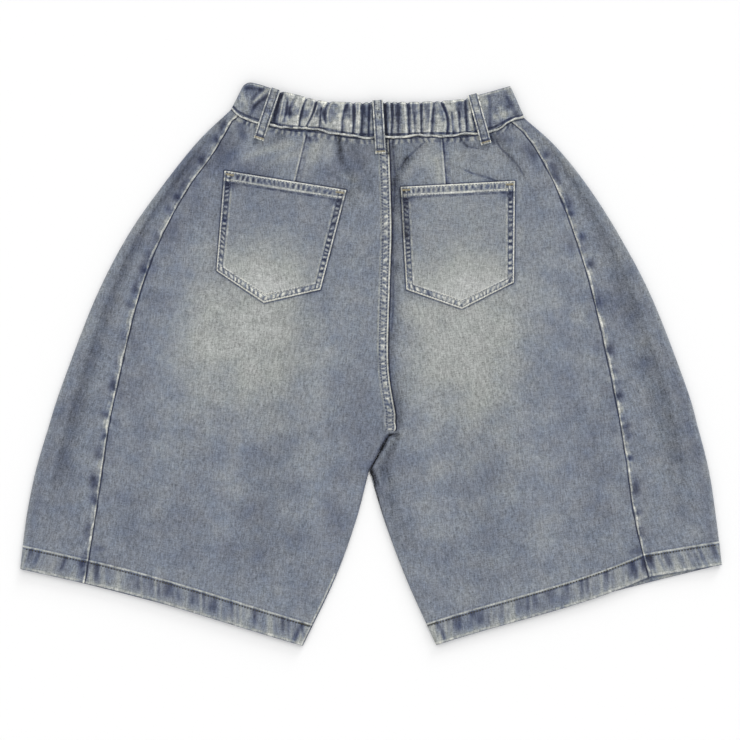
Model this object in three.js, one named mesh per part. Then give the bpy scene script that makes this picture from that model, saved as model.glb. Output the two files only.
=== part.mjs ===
// Barrel-leg denim shorts with an elasticated back waist, laid flat on a level surface with the back up.
// Millimetres. +Z is up, +Y runs from the hems to the waist and +X to the wearer's right.
// The origin is on the surface, under the middle of the laid garment.
import * as THREE from "three";

// The cloth and how it is sewn
const CLOTH = 1.2; // one layer of denim
const SEAM_GAP = 0.3; // between two pieces that meet at a seam
const WAIST_GAP = 0.7; // the same along the waist seam
const EDGE_RUN = 3; // the last stretch before an inner edge, which curls into a fold below the crotch
const HEM_DEPTH = 28;
const HEM_TURNING = 1.2; // the layers turned up inside a hem
const HEM_STEP = 0.8; // how far a hem stands above its panel
const HEM_STEP_RUN = 3;
const HEM_STEP_FROM = 8.5; // where along a leg the step starts and ends, in rows of the sections
const HEM_STEP_TO = 8.6;
const HEM_CALM = 0.8; // how much of a crease a hem presses flat
const FELL_WIDTH = 12.5; // the felled seam down the centre back
const FELL_STEP = 0.6;
const FELL_EDGE = 1.12; // where its edge has fully risen, as a place across the panel

// Heights of the layers above the surface
const UPPER_LEVEL = 4.6; // outer face of the back panels where they lie calm
const WAIST_RISE = 1.6; // how far the panels climb to the thicker waistband
const WAIST_RISE_RUN = 30;
const SIDE_ROLL = 1.3; // the soft roll along the outer folds
const SIDE_TROUGH = 0.7; // the trough between that roll and the side seam
const ROLL_PLACE = 0.93; // both as a share of the way from side seam to fold
const TROUGH_PLACE = 0.62;
const ROLL_SPREAD = 0.16;
const TROUGH_SPREAD = 0.15;

// The waistband: a plain front that wraps round both sides, and an elasticated back between belt loops
const BAND_UNDER = 1.8; // underside of the front waistband, which rests on the front belt loops
const BAND_CLOTH = 2.6; // a folded band, two layers with interfacing
const BAND_UPPER = 8.2; // outer face of the band's upper side
const ELASTIC_UNDER = 4.9; // plain inside of the elasticated back
const ELASTIC_UPPER = 8.7; // outer face along its edges
const ELASTIC_PUFF = 0.7; // how far the cloth puffs up between gathers
const JOIN_LEFT = { seam: -122, top: -110.5 }; // where front and back bands meet, under the outer belt loops
const JOIN_RIGHT = { seam: 130, top: 119 };
const CENTRE_FRONT = 20.7;
const LAP = 14; // how far the buttoned end laps past the centre front
const FRONT_SEAM_LOW = 260; // where the front's waist seam meets the centre front
const FRONT_BAND_DROP = 4; // how far the front's top edge lies below the back's
const SIDE_WRAP = 8; // how far inside a fold the front's own line starts
const BAND_EDGE_SHARE = 0.15; // how far up and down the band its gathers reach their full depth
const GATHER_AT_EDGE = 0.6; // how much of a gather's depth is left at the band's edges
const GATHER_REACH = 0.4; // how far a gather may spread towards the next one

// Small pieces
const LOOP_WIDTH = 12;
const LOOP_CLOTH = 1.4;
const LOOP_LIFT = 0.5;
const LOOP_RAMP = 8; // the stretch over which a loop comes down off the band
const LOOP_TURN = 0.04; // the turned-in top end, as a share of a loop's length
const POCKET_LIFT = 0.5;
const POCKET_HEM = 11.5;
const POCKET_HEM_STEP = 0.6;
const POCKET_HEM_STEP_RUN = 2;
const BUTTON_RADIUS = 8.5;
const BUTTON_HEIGHT = 1.5;
const BUTTON_CAP = 1.2; // thickness of its cap
const BUTTON_BEVEL = 0.5;
const SHANK_RADIUS = 3.5;

// Sections of each leg from waist to hem. fold is the outermost edge, seam the side seam, which lies on
// the upper side, and inner the centre seam down to the crotch and the inner fold of the leg after it.
const LEFT_SECTIONS = [
  { foldX: -159.7, foldY: 295.9, seamX: -150.9, seamY: 288.3, innerX: 20.7, innerY: 262.8 },
  { foldX: -197.6, foldY: 259.3, seamX: -178.0, seamY: 248.0, innerX: 22.8, innerY: 210.0 },
  { foldX: -241.0, foldY: 205.0, seamX: -211.5, seamY: 202.0, innerX: 24.0, innerY: 150.0 },
  { foldX: -280.4, foldY: 148.0, seamX: -243.0, seamY: 143.0, innerX: 22.0, innerY: 88.0 },
  { foldX: -317.6, foldY: 75.3, seamX: -268.5, seamY: 74.0, innerX: 20.6, innerY: 0.0 },
  { foldX: -356.0, foldY: -25.0, seamX: -292.5, seamY: -27.0, innerX: 29.8, innerY: -63.0 },
  { foldX: -371.0, foldY: -72.0, seamX: -302.5, seamY: -76.0, innerX: -1.6, innerY: -121.3 },
  { foldX: -385.6, foldY: -122.0, seamX: -309.7, seamY: -124.0, innerX: -17.0, innerY: -180.0 },
  { foldX: -396.4, foldY: -176.0, seamX: -317.4, seamY: -177.0, innerX: -41.0, innerY: -246.0 },
  { foldX: -403.4, foldY: -234.0, seamX: -329.2, seamY: -250.7, innerX: -77.6, innerY: -322.6 },
];
const RIGHT_SECTIONS = [
  { foldX: 177.0, foldY: 285.4, seamX: 161.3, seamY: 281.2, innerX: 20.7, innerY: 262.8 },
  { foldX: 213.5, foldY: 252.0, seamX: 190.5, seamY: 248.0, innerX: 22.8, innerY: 210.0 },
  { foldX: 251.0, foldY: 205.0, seamX: 215.8, seamY: 200.5, innerX: 24.0, innerY: 150.0 },
  { foldX: 287.3, foldY: 148.0, seamX: 237.7, seamY: 142.0, innerX: 22.0, innerY: 88.0 },
  { foldX: 325.0, foldY: 75.3, seamX: 257.5, seamY: 75.0, innerX: 20.6, innerY: 0.0 },
  { foldX: 363.6, foldY: -25.0, seamX: 280.0, seamY: -27.0, innerX: 29.8, innerY: -63.0 },
  { foldX: 377.2, foldY: -72.0, seamX: 289.2, seamY: -76.0, innerX: -1.6, innerY: -121.3 },
  { foldX: 389.8, foldY: -122.0, seamX: 296.8, seamY: -125.0, innerX: 17.0, innerY: -182.0 },
  { foldX: 398.0, foldY: -176.0, seamX: 304.6, seamY: -177.0, innerX: 42.0, innerY: -248.0 },
  { foldX: 404.6, foldY: -229.4, seamX: 320.3, seamY: -243.5, innerX: 75.3, innerY: -321.8 },
];
const CROTCH_ROW = 5;
const FORK_ROW = 6; // where the inner folds of the two legs part
const HEM_ROW = LEFT_SECTIONS.length - 1;
const WAIST_ROWS = 1.4; // how far down the waist seam's own line is felt
const FELL_ENDS = 4.6; // where the felled seam starts to flatten out, above the crotch
const STRIP_SETTLES = 1.5; // how far down from the waist the side rolls reach their full height
const STRIP_AT_HEM = 0.3; // how much of a side roll is left at the hem
const FOLD_BLEND = 0.05; // the stretch of the underside that joins it to the outer fold

// The legs. turn tells which way round a section runs; a bow is how far a hem bends from a straight line.
const LEFT = { sections: LEFT_SECTIONS, turn: 1, fell: FELL_STEP, bow: 2.4, underBow: 4 };
const RIGHT = { sections: RIGHT_SECTIONS, turn: -1, fell: 0, bow: -4.6, underBow: 4.2 };

// The waist seam and the top edge of the band across the back
const WAIST_SEAM = [
  { x: -159.7, y: 295.9 },
  { x: -150.9, y: 288.3 },
  { x: -132.1, y: 280.7 },
  { x: -96.9, y: 273.0 },
  { x: -58.2, y: 270.1 },
  { x: -20.0, y: 263.7 },
  { x: 20.6, y: 262.8 },
  { x: 65.0, y: 264.5 },
  { x: 103.8, y: 264.7 },
  { x: 137.9, y: 269.9 },
  { x: 161.3, y: 281.2 },
  { x: 177.0, y: 285.4 },
];
const BAND_TOP = [
  { x: -147.0, y: 321.0 },
  { x: -139.0, y: 325.0 },
  { x: -126.0, y: 322.4 },
  { x: -112.0, y: 317.8 },
  { x: -86.0, y: 311.5 },
  { x: -56.0, y: 304.2 },
  { x: -20.0, y: 302.6 },
  { x: 15.9, y: 303.0 },
  { x: 56.9, y: 303.0 },
  { x: 99.1, y: 305.4 },
  { x: 122.5, y: 310.6 },
  { x: 161.0, y: 321.2 },
];

// Gathers of the elasticated back, left to right: where the valley crosses the waist seam and the top edge,
// its half width and its depth
const GATHERS = [
  { seam: -112.0, top: -104.0, half: 3.0, depth: 1.2 },
  { seam: -103.0, top: -96.0, half: 3.6, depth: 1.0 },
  { seam: -91.0, top: -85.0, half: 3.4, depth: 0.9 },
  { seam: -82.5, top: -73.5, half: 1.9, depth: 1.8 },
  { seam: -75.8, top: -62.0, half: 2.0, depth: 1.8 },
  { seam: -59.5, top: -55.0, half: 2.4, depth: 1.3 },
  { seam: -47.0, top: -47.5, half: 3.0, depth: 1.2 },
  { seam: -32.8, top: -27.0, half: 2.6, depth: 1.4 },
  { seam: -20.7, top: -19.9, half: 2.4, depth: 1.8 },
  { seam: -10.7, top: -8.9, half: 2.8, depth: 1.8 },
  { seam: -2.6, top: -1.6, half: 2.0, depth: 1.3 },
  { seam: 17.2, top: 16.4, half: 2.4, depth: 1.7 },
  { seam: 23.6, top: 24.0, half: 2.0, depth: 1.3 },
  { seam: 31.8, top: 31.6, half: 3.0, depth: 1.7 },
  { seam: 44.6, top: 42.6, half: 2.8, depth: 1.5 },
  { seam: 51.2, top: 49.6, half: 2.2, depth: 1.0 },
  { seam: 58.6, top: 57.6, half: 2.4, depth: 1.9 },
  { seam: 69.8, top: 73.0, half: 2.4, depth: 1.4 },
  { seam: 87.6, top: 80.6, half: 2.4, depth: 1.7 },
  { seam: 95.4, top: 92.0, half: 2.6, depth: 1.0 },
  { seam: 102.9, top: 100.4, half: 2.2, depth: 1.0 },
  { seam: 110.8, top: 108.6, half: 2.6, depth: 1.9 },
  { seam: 121.0, top: 114.6, half: 2.8, depth: 1.2 },
];

// Creases on the upper side of the panels. height is negative for a trough.
const CREASES = [
  { x1: 26, y1: 250, x2: 28, y2: 205, half: 5, height: -1.2 }, // beside the centre back seam
  { x1: 28, y1: 205, x2: 29, y2: 110, half: 5, height: -1.2 },
  { x1: 29, y1: 110, x2: 28, y2: 20, half: 6, height: -0.9 },
  { x1: 36, y1: -20, x2: 12, y2: -130, half: 10, height: -0.8 }, // from the crotch down the right leg
  { x1: 12, y1: -130, x2: 40, y2: -205, half: 12, height: -0.6 },
  { x1: 50, y1: 262, x2: 36, y2: 228, half: 6, height: -0.9 }, // below the gathers
  { x1: -37, y1: 264, x2: -34, y2: 232, half: 5, height: -1.1 },
  { x1: -20, y1: 250, x2: -6, y2: 205, half: 10, height: -0.7 },
  { x1: 142, y1: 262, x2: 164, y2: 232, half: 6, height: -0.9 },
  { x1: 98, y1: 262, x2: 118, y2: 238, half: 8, height: -0.6 },
  { x1: -126, y1: 262, x2: -164, y2: 222, half: 12, height: 0.8 },
  { x1: -215, y1: 120, x2: -262, y2: -120, half: 26, height: 0.6 }, // long soft rolls down the legs
  { x1: -95, y1: 30, x2: -128, y2: -210, half: 30, height: -0.6 },
  { x1: 205, y1: 110, x2: 236, y2: -150, half: 26, height: 0.6 },
  { x1: 118, y1: 20, x2: 132, y2: -230, half: 30, height: -0.5 },
  { x1: -70, y1: -120, x2: -46, y2: -215, half: 16, height: 0.6 },
];

// Back pockets: corners of each patch, its straight top first, then down to the point
const POCKETS = [
  {
    name: "back_pocket_left",
    topLeft: [-167.9, 224.0],
    topRight: [-27.7, 201.7],
    lowLeft: [-177.3, 109.0],
    lowRight: [-57.6, 87.3],
    point: [-122.7, 72.0],
  },
  {
    name: "back_pocket_right",
    topLeft: [34.5, 205.3],
    topRight: [166.2, 212.3],
    lowLeft: [41.2, 87.3],
    lowRight: [165.0, 95.6],
    point: [105.1, 65.0],
  },
];

// Belt loops: middle of each end, above the top edge and below the waist seam
const BACK_LOOPS = [
  { name: "belt_loop_back_left", topX: -108.8, topY: 317.5, lowX: -128.6, lowY: 259.5 },
  { name: "belt_loop_back_centre", topX: 8.0, topY: 304.5, lowX: 11.7, lowY: 243.5 },
  { name: "belt_loop_back_right", topX: 117.0, topY: 311.2, lowX: 133.0, lowY: 254.5 },
];
const FRONT_LOOPS = [
  { name: "belt_loop_front_left", topX: -73, topY: 303, lowX: -80, lowY: 262 },
  { name: "belt_loop_front_right", topX: 100, topY: 300, lowX: 106, lowY: 260 },
];

// Finishes
const DENIM = { color: "#7f8694", roughness: 0.95 };
const LIGHT_DENIM = { color: "#8d939b", roughness: 0.95 };
const DARK_DENIM = { color: "#747c8e", roughness: 0.95 };
const BRASS = { color: "#8a7a5c", roughness: 0.4, metalness: 1 };

const { lerp, clamp, smoothstep } = THREE.MathUtils;
const bell = (distance, spread) => Math.exp(-((distance / spread) ** 2));

// A smooth line through two columns of a table, by row number
function columnLine(rows, keyX, keyY, first, last) {
  const points = rows.slice(first, last + 1).map((row) => new THREE.Vector3(row[keyX], row[keyY], 0));
  const line = new THREE.CatmullRomCurve3(points, false, "catmullrom");
  return (row) => line.getPoint(clamp((row - first) / (last - first), 0, 1));
}

// The height of a line given as { x, y } rows, at any x
function yAlong(rows) {
  const line = new THREE.CatmullRomCurve3(
    rows.map((row) => new THREE.Vector3(row.x, row.y, 0)),
    false,
    "catmullrom",
  );
  const samples = line.getPoints(rows.length * 8);
  return (x) => {
    const next = samples.findIndex((p) => p.x >= x);
    if (next < 0) return samples[samples.length - 1].y;
    if (next === 0) return samples[0].y;
    const [a, b] = [samples[next - 1], samples[next]];
    return lerp(a.y, b.y, (x - a.x) / (b.x - a.x));
  };
}
const waistSeamY = yAlong(WAIST_SEAM);
const bandTopY = yAlong(BAND_TOP);

// The waist seam of the front, which runs straight from close to each fold down to the centre front
function frontSeamY(x) {
  const sideX = x < CENTRE_FRONT ? WAIST_SEAM.at(0).x + SIDE_WRAP : WAIST_SEAM.at(-1).x - SIDE_WRAP;
  const share = (x - CENTRE_FRONT) / (sideX - CENTRE_FRONT);
  return share >= 1 ? waistSeamY(x) : lerp(FRONT_SEAM_LOW, waistSeamY(sideX), share);
}

for (const leg of [LEFT, RIGHT]) {
  const above = columnLine(leg.sections, "innerX", "innerY", 0, CROTCH_ROW);
  const shared = columnLine(leg.sections, "innerX", "innerY", CROTCH_ROW, FORK_ROW);
  const below = columnLine(leg.sections, "innerX", "innerY", FORK_ROW, HEM_ROW);
  leg.innerAt = (row) => (row <= CROTCH_ROW ? above(row) : row <= FORK_ROW ? shared(row) : below(row));
  leg.foldAt = columnLine(leg.sections, "foldX", "foldY", 0, HEM_ROW);
  leg.seamAt = columnLine(leg.sections, "seamX", "seamY", 0, HEM_ROW);
}

function creaseHeight(x, y, crease) {
  const { x1, y1, x2, y2, half, height } = crease;
  const length = Math.hypot(x2 - x1, y2 - y1);
  const along = clamp(((x - x1) * (x2 - x1) + (y - y1) * (y2 - y1)) / length ** 2, 0, 1);
  const away = Math.hypot(x - lerp(x1, x2, along), y - lerp(y1, y2, along));
  return height * bell(away, half);
}

// Outer face of the upper layer, before its felled seam and side roll
function upperLevel(x, y, along = 0) {
  const creases = CREASES.reduce((sum, crease) => sum + creaseHeight(x, y, crease), 0);
  const belowSeam = Math.max(0, waistSeamY(x) - y);
  const pressed = HEM_CALM * smoothstep(along, HEM_ROW - 1.5, HEM_STEP_FROM);
  const calm = smoothstep(belowSeam, 2, 16) * (1 - pressed);
  const waist = WAIST_RISE * bell(belowSeam, WAIST_RISE_RUN);
  return UPPER_LEVEL + creases * calm + waist + HEM_STEP * inHem(along);
}

// 1 within a hem and 0 above it
const inHem = (along) => smoothstep(along, HEM_STEP_FROM, HEM_STEP_TO);

// Outer face of the lower layer: flat on the surface, and lifted a little where the waistband starts
const lowerLevel = (x, y) => BAND_UNDER * bell(Math.max(0, frontSeamY(x) - y), WAIST_RISE_RUN);

// Rows near the hem keep the hem's depth from end to end of a section
function rowOf(along, length) {
  const last = HEM_ROW - 1;
  if (along <= last) return along;
  const edge = HEM_DEPTH / length;
  const run = HEM_STEP_RUN / length;
  const share = along - last;
  const from = HEM_STEP_FROM - last;
  const to = HEM_STEP_TO - last;
  if (share <= from) return last + (1 - edge) * (share / from);
  if (share <= to) return last + 1 - edge + run * ((share - from) / (to - from));
  return last + lerp(1 - edge + run, 1, (share - to) / (1 - to));
}

// How a hem's bow is spread from end to end of a section: nearer the side seam on the upper side, and
// even on the underside. Each is 1 where the bow is deepest.
const upperBow = (share) => (27 / 4) * share * (1 - share) ** 2;
const underBow = (share) => 4 * share * (1 - share);

// A point between two of a leg's lines, row by row, with the hem's bow and the waist seam's own line
function between(fromLine, toLine, share, along, bow = 0, waistLine = waistSeamY) {
  const length = lerp(
    fromLine(HEM_ROW - 1).distanceTo(fromLine(HEM_ROW)),
    toLine(HEM_ROW - 1).distanceTo(toLine(HEM_ROW)),
    share,
  );
  const row = rowOf(along, length);
  const p = fromLine(row).lerp(toLine(row), share);
  p.y += bow * smoothstep(row, HEM_ROW - 1, HEM_ROW);
  const dip = waistLine(p.x) - WAIST_GAP - fromLine(0).lerp(toLine(0), share).y;
  p.y += dip * (1 - smoothstep(row, 0, WAIST_ROWS));
  return p;
}

// How far the inner edge has curled down into a fold: not at all above the crotch
const curlAt = (row) => smoothstep(row, CROTCH_ROW, FORK_ROW + 0.5);

// The last few millimetres before an inner edge, flat above the crotch and a quarter turn below it
function innerEdge(leg, row, share, level, isUpper) {
  const inner = leg.innerAt(row);
  const inward = leg.seamAt(row).sub(inner).normalize();
  const bend = (share * Math.PI) / 2;
  const curl = curlAt(row);
  const away = EDGE_RUN * lerp(1 - share, 1 - Math.sin(bend), curl);
  const rise = ((level - SEAM_GAP) / 2) * (1 - Math.cos(bend)) * curl;
  const p = inner.addScaledVector(inward, away + SEAM_GAP / 2);
  p.z = isUpper ? level - rise : rise;
  return p;
}

// Outer face of a back panel. across: 0 to 1 from the side seam to the felled seam, 1 to 2 over that,
// 2 to 3 the edge.
function backFace(leg) {
  return (across, along) => {
    const width = leg.seamAt(along).distanceTo(leg.innerAt(along));
    const edge = (EDGE_RUN + SEAM_GAP / 2) / width;
    const fell = FELL_WIDTH / width;
    const from = SEAM_GAP / 2 / width;
    if (across <= 2) {
      const share = across <= 1 ? lerp(from, 1 - fell, across) : lerp(1 - fell, 1 - edge, across - 1);
      const p = between(leg.seamAt, leg.innerAt, share, along, leg.bow * upperBow(share));
      p.z = upperLevel(p.x, p.y, along) + leg.fell * fellRise(across, along);
      return p;
    }
    const start = between(leg.seamAt, leg.innerAt, 1 - edge, along);
    const level = upperLevel(start.x, start.y, along) + leg.fell * fellRise(2, along);
    const row = rowOf(along, leg.innerAt(HEM_ROW - 1).distanceTo(leg.innerAt(HEM_ROW)));
    const p = innerEdge(leg, row, across - 2, level, true);
    p.y -= WAIST_GAP * (1 - smoothstep(along, 0, 1));
    return p;
  };
}

// The felled seam stands up over its own width and ends at the crotch
function fellRise(across, along) {
  return smoothstep(across, 1, FELL_EDGE) * (1 - smoothstep(along, FELL_ENDS, CROTCH_ROW));
}

// Outer face of the strip of front panel that wraps onto the upper side, from the side seam to the outer fold
function stripPoint(leg, share, along) {
  const p = between(leg.seamAt, leg.foldAt, share, along);
  const flat = smoothstep(along, HEM_ROW - 2, HEM_ROW);
  const fade = smoothstep(along, 0, STRIP_SETTLES) * lerp(1, STRIP_AT_HEM, flat);
  const roll = SIDE_ROLL * bell(share - ROLL_PLACE, ROLL_SPREAD);
  const trough = SIDE_TROUGH * bell(share - TROUGH_PLACE, TROUGH_SPREAD);
  const meets = smoothstep(share, 0, 0.2);
  p.z = upperLevel(p.x, p.y, along) + (roll - trough) * fade * meets;
  return p;
}

// Outer face of a front panel. across: 0 to 1 the strip on the upper side, 1 to 2 round the outer fold,
// 2 to 3 the flat underside, 3 to 4 the inner edge.
function frontFace(leg) {
  return (across, along) => {
    const width = leg.seamAt(along).distanceTo(leg.foldAt(along));
    const radius = stripPoint(leg, 1 - UPPER_LEVEL / 2 / width, along).z / 2;
    const end = 1 - radius / width;
    if (across <= 1) return stripPoint(leg, lerp(SEAM_GAP / 2 / width, end, across), along);
    const top = stripPoint(leg, end, along);
    const fold = between(leg.seamAt, leg.foldAt, 1, along);
    const low = lowerLevel(fold.x, fold.y);
    if (across <= 2) {
      const turn = Math.PI * (across - 1);
      const p = top.clone().lerp(fold, Math.sin(turn));
      p.z = low + ((top.z - low) / 2) * (1 + Math.cos(turn));
      return p;
    }
    const span = leg.foldAt(along).distanceTo(leg.innerAt(along));
    const first = radius / span;
    const last = 1 - (EDGE_RUN + SEAM_GAP / 2) / span;
    if (across <= 3) {
      const share = lerp(first, last, across - 2);
      const p = between(leg.foldAt, leg.innerAt, share, along, leg.underBow * underBow(share), frontSeamY);
      const blend = smoothstep(across, 2, 2 + FOLD_BLEND);
      const joined = new THREE.Vector3(top.x, top.y, 0).lerp(p, blend);
      p.set(joined.x, joined.y, lowerLevel(joined.x, joined.y));
      return p;
    }
    const row = rowOf(along, leg.innerAt(HEM_ROW - 1).distanceTo(leg.innerAt(HEM_ROW)));
    const level = upperLevel(leg.innerAt(row).x, leg.innerAt(row).y, along);
    const p = innerEdge(leg, row, across - 3, level, false);
    p.y -= (leg.innerAt(0).y - frontSeamY(p.x) + WAIST_GAP) * (1 - smoothstep(along, 0, 1));
    p.z += lowerLevel(p.x, p.y);
    return p;
  };
}

// Denim is one layer thick, and thicker inside a hem
const hemThickness = (across, along) => CLOTH + HEM_TURNING * inHem(along);

// The inner face that lies a thickness behind an outer face
function behind(outer, thickness, turn, acrossEnd) {
  const step = 0.004;
  return (across, along) => {
    const [a0, a1] = [Math.max(0, across - step), Math.min(acrossEnd, across + step)];
    const [b0, b1] = [Math.max(0, along - step), Math.min(HEM_ROW, along + step)];
    const du = outer(a1, along).sub(outer(a0, along));
    const dv = outer(across, b1).sub(outer(across, b0));
    const normal = du.cross(dv).normalize();
    return outer(across, along).addScaledVector(normal, turn * thickness(across, along));
  };
}

// A closed wall of cloth between an outer and an inner face, each a function of two places
function clothWall(outer, inner, acrossPlaces, alongPlaces) {
  const positions = [];
  const index = [];
  const columns = acrossPlaces.length;
  const rows = alongPlaces.length;
  for (const face of [outer, inner])
    for (const along of alongPlaces)
      for (const across of acrossPlaces) positions.push(...face(across, along).toArray());
  const at = (layer, row, column) => (layer * rows + row) * columns + column;
  const quad = (a, b, c, d) => index.push(a, b, c, a, c, d);
  for (let r = 0; r + 1 < rows; r++)
    for (let c = 0; c + 1 < columns; c++) {
      quad(at(0, r, c), at(0, r, c + 1), at(0, r + 1, c + 1), at(0, r + 1, c));
      quad(at(1, r, c), at(1, r + 1, c), at(1, r + 1, c + 1), at(1, r, c + 1));
    }
  for (let c = 0; c + 1 < columns; c++) {
    quad(at(0, 0, c), at(1, 0, c), at(1, 0, c + 1), at(0, 0, c + 1));
    quad(at(0, rows - 1, c), at(0, rows - 1, c + 1), at(1, rows - 1, c + 1), at(1, rows - 1, c));
  }
  for (let r = 0; r + 1 < rows; r++) {
    quad(at(0, r, 0), at(0, r + 1, 0), at(1, r + 1, 0), at(1, r, 0));
    quad(at(0, r, columns - 1), at(1, r, columns - 1), at(1, r + 1, columns - 1), at(0, r + 1, columns - 1));
  }
  return facingOut(positions, index);
}

// Turns the faces round if they point inwards
function facingOut(positions, index) {
  const corner = (i) => new THREE.Vector3().fromArray(positions, 3 * index[i]);
  let volume = 0;
  for (let i = 0; i < index.length; i += 3) volume += corner(i).dot(corner(i + 1).cross(corner(i + 2)));
  if (volume < 0) index.reverse();
  const geometry = new THREE.BufferGeometry();
  geometry.setAttribute("position", new THREE.Float32BufferAttribute(positions, 3));
  geometry.setIndex(index);
  geometry.computeVertexNormals();
  return geometry;
}

const evenly = (from, to, steps) => Array.from({ length: steps }, (_, i) => lerp(from, to, (i + 1) / steps));

// Places down a leg: finer at the waist, and doubled where the hem steps up
const DOWN_THE_LEG = [0, ...evenly(0, 1, 5), ...evenly(1, 8, 21), HEM_STEP_FROM, HEM_STEP_TO, HEM_ROW];
const ACROSS_BACK = [0, ...evenly(0, 0.85, 12), ...evenly(0.85, 1, 5), FELL_EDGE, 2, 2.3, 2.6, 3];
const ACROSS_STRIP = [0, ...evenly(0, 1, 7)];
const ACROSS_UNDER = [...evenly(2, 2 + FOLD_BLEND, 2), ...evenly(2 + FOLD_BLEND, 3, 5), 3.3, 3.6, 4];
const ACROSS_FRONT = [...ACROSS_STRIP, ...evenly(1, 2, 6), ...ACROSS_UNDER];

function backPanel(leg) {
  const outer = backFace(leg);
  return clothWall(outer, behind(outer, hemThickness, leg.turn, 3), ACROSS_BACK, DOWN_THE_LEG);
}

function frontPanel(leg) {
  const outer = frontFace(leg);
  return clothWall(outer, behind(outer, hemThickness, -leg.turn, 4), ACROSS_FRONT, DOWN_THE_LEG);
}

// A point of the upper waistband. seamX and topX are where its line crosses the waist seam and the top edge.
function bandPlan(seamX, topX, up) {
  const low = new THREE.Vector3(seamX, waistSeamY(seamX), 0);
  return low.lerp(new THREE.Vector3(topX, bandTopY(topX), 0), up);
}

// Lines across the elasticated back: a valley line for each gather, with a line on each side of it
function gatherLines() {
  const lines = [{ seam: JOIN_LEFT.seam + SEAM_GAP / 2, top: JOIN_LEFT.top + SEAM_GAP / 2, drop: 0 }];
  GATHERS.forEach((gather, i) => {
    const before = GATHERS[i - 1] ?? JOIN_LEFT;
    const after = GATHERS[i + 1] ?? JOIN_RIGHT;
    for (const side of [-1, 0, 1]) {
      const neighbour = side < 0 ? before : after;
      const reach = (key) => Math.min(gather.half, GATHER_REACH * Math.abs(neighbour[key] - gather[key]));
      const drop = side === 0 ? gather.depth : 0;
      lines.push({ seam: gather.seam + side * reach("seam"), top: gather.top + side * reach("top"), drop });
    }
  });
  lines.push({ seam: JOIN_RIGHT.seam - SEAM_GAP / 2, top: JOIN_RIGHT.top - SEAM_GAP / 2, drop: 0 });
  return lines;
}

function elasticBack() {
  const lines = gatherLines();
  const face = (isOuter) => (number, up) => {
    const { seam, top, drop } = lines[number];
    const p = bandPlan(seam, top, up);
    const middle = Math.sin(Math.PI * up);
    const sunk = drop * lerp(GATHER_AT_EDGE, 1, middle);
    p.z = isOuter ? ELASTIC_UPPER + ELASTIC_PUFF * middle - sunk : ELASTIC_UNDER;
    return p;
  };
  const places = [0, BAND_EDGE_SHARE, 0.5, 1 - BAND_EDGE_SHARE, 1];
  return clothWall(face(true), face(false), [...lines.keys()], places);
}

// A front waistband: from its join on the upper side, round the outer fold, and along the underside
function frontBand(isLeft) {
  const join = isLeft ? JOIN_LEFT : JOIN_RIGHT;
  const away = isLeft ? -1 : 1;
  const foldSeam = WAIST_SEAM.at(isLeft ? 0 : -1).x;
  const foldTop = BAND_TOP.at(isLeft ? 0 : -1).x;
  const radius = (BAND_UPPER - BAND_UNDER) / 2;
  const gap = (away * SEAM_GAP) / 2;
  const face = (inset) => (across, up) => {
    if (across <= 1) {
      const seamX = lerp(join.seam + gap, foldSeam - away * radius, across);
      const topX = lerp(join.top + gap, foldTop - away * radius, across);
      const p = bandPlan(seamX, topX, up);
      p.z = BAND_UPPER - inset;
      return p;
    }
    if (across <= 2) {
      const turn = Math.PI * (across - 1);
      const out = away * (radius - inset) * Math.sin(turn) - away * radius;
      const p = bandPlan(foldSeam + out, foldTop + out, up);
      p.z = BAND_UNDER + radius + (radius - inset) * Math.cos(turn);
      return p;
    }
    const end = CENTRE_FRONT - LAP + gap;
    const seamX = lerp(foldSeam - away * radius, end, across - 2);
    const low = new THREE.Vector3(seamX, frontSeamY(seamX), BAND_UNDER + inset);
    const startX = foldTop - away * radius;
    const topX = lerp(startX, end, across - 2);
    const topY = bandTopY(topX) - FRONT_BAND_DROP * smoothstep(across, 2, 2.3);
    return low.lerp(new THREE.Vector3(topX, topY, low.z), up);
  };
  const places = [0, ...evenly(0, 1, 6), ...evenly(1, 2, 6), ...evenly(2, 3, 10)];
  return clothWall(face(0), face(BAND_CLOTH), places, [0, 0.5, 1]);
}

// A patch pocket, made from the panel's own height moved out
function patchPocket(pocket) {
  const { topLeft, topRight, lowLeft, lowRight, point } = pocket;
  const at = ([x, y]) => new THREE.Vector3(x, y, 0);
  const leftSlope = at(lowLeft).distanceTo(at(point));
  const rightSlope = at(point).distanceTo(at(lowRight));
  const pointShare = leftSlope / (leftSlope + rightSlope);
  const depth = at(topLeft).distanceTo(at(lowLeft));
  const hemEnd = POCKET_HEM / depth;
  const hemStepEnd = (POCKET_HEM + POCKET_HEM_STEP_RUN) / depth;
  const plan = (across, down) => {
    const top = at(topLeft).lerp(at(topRight), across);
    const low =
      across <= pointShare
        ? at(lowLeft).lerp(at(point), across / pointShare)
        : at(point).lerp(at(lowRight), (across - pointShare) / (1 - pointShare));
    return top.lerp(low, down);
  };
  const face = (isOuter) => (across, down) => {
    const p = plan(across, down);
    const hem = POCKET_HEM_STEP * (1 - smoothstep(down, hemEnd, hemStepEnd));
    p.z = upperLevel(p.x, p.y) + POCKET_LIFT + (isOuter ? CLOTH + hem : 0);
    return p;
  };
  const across = [0, ...evenly(0, pointShare, 5), ...evenly(pointShare, 1, 5)];
  const down = [0, hemEnd, hemStepEnd, ...evenly(hemStepEnd, 1, 8)];
  return clothWall(face(true), face(false), across, down);
}

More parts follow.
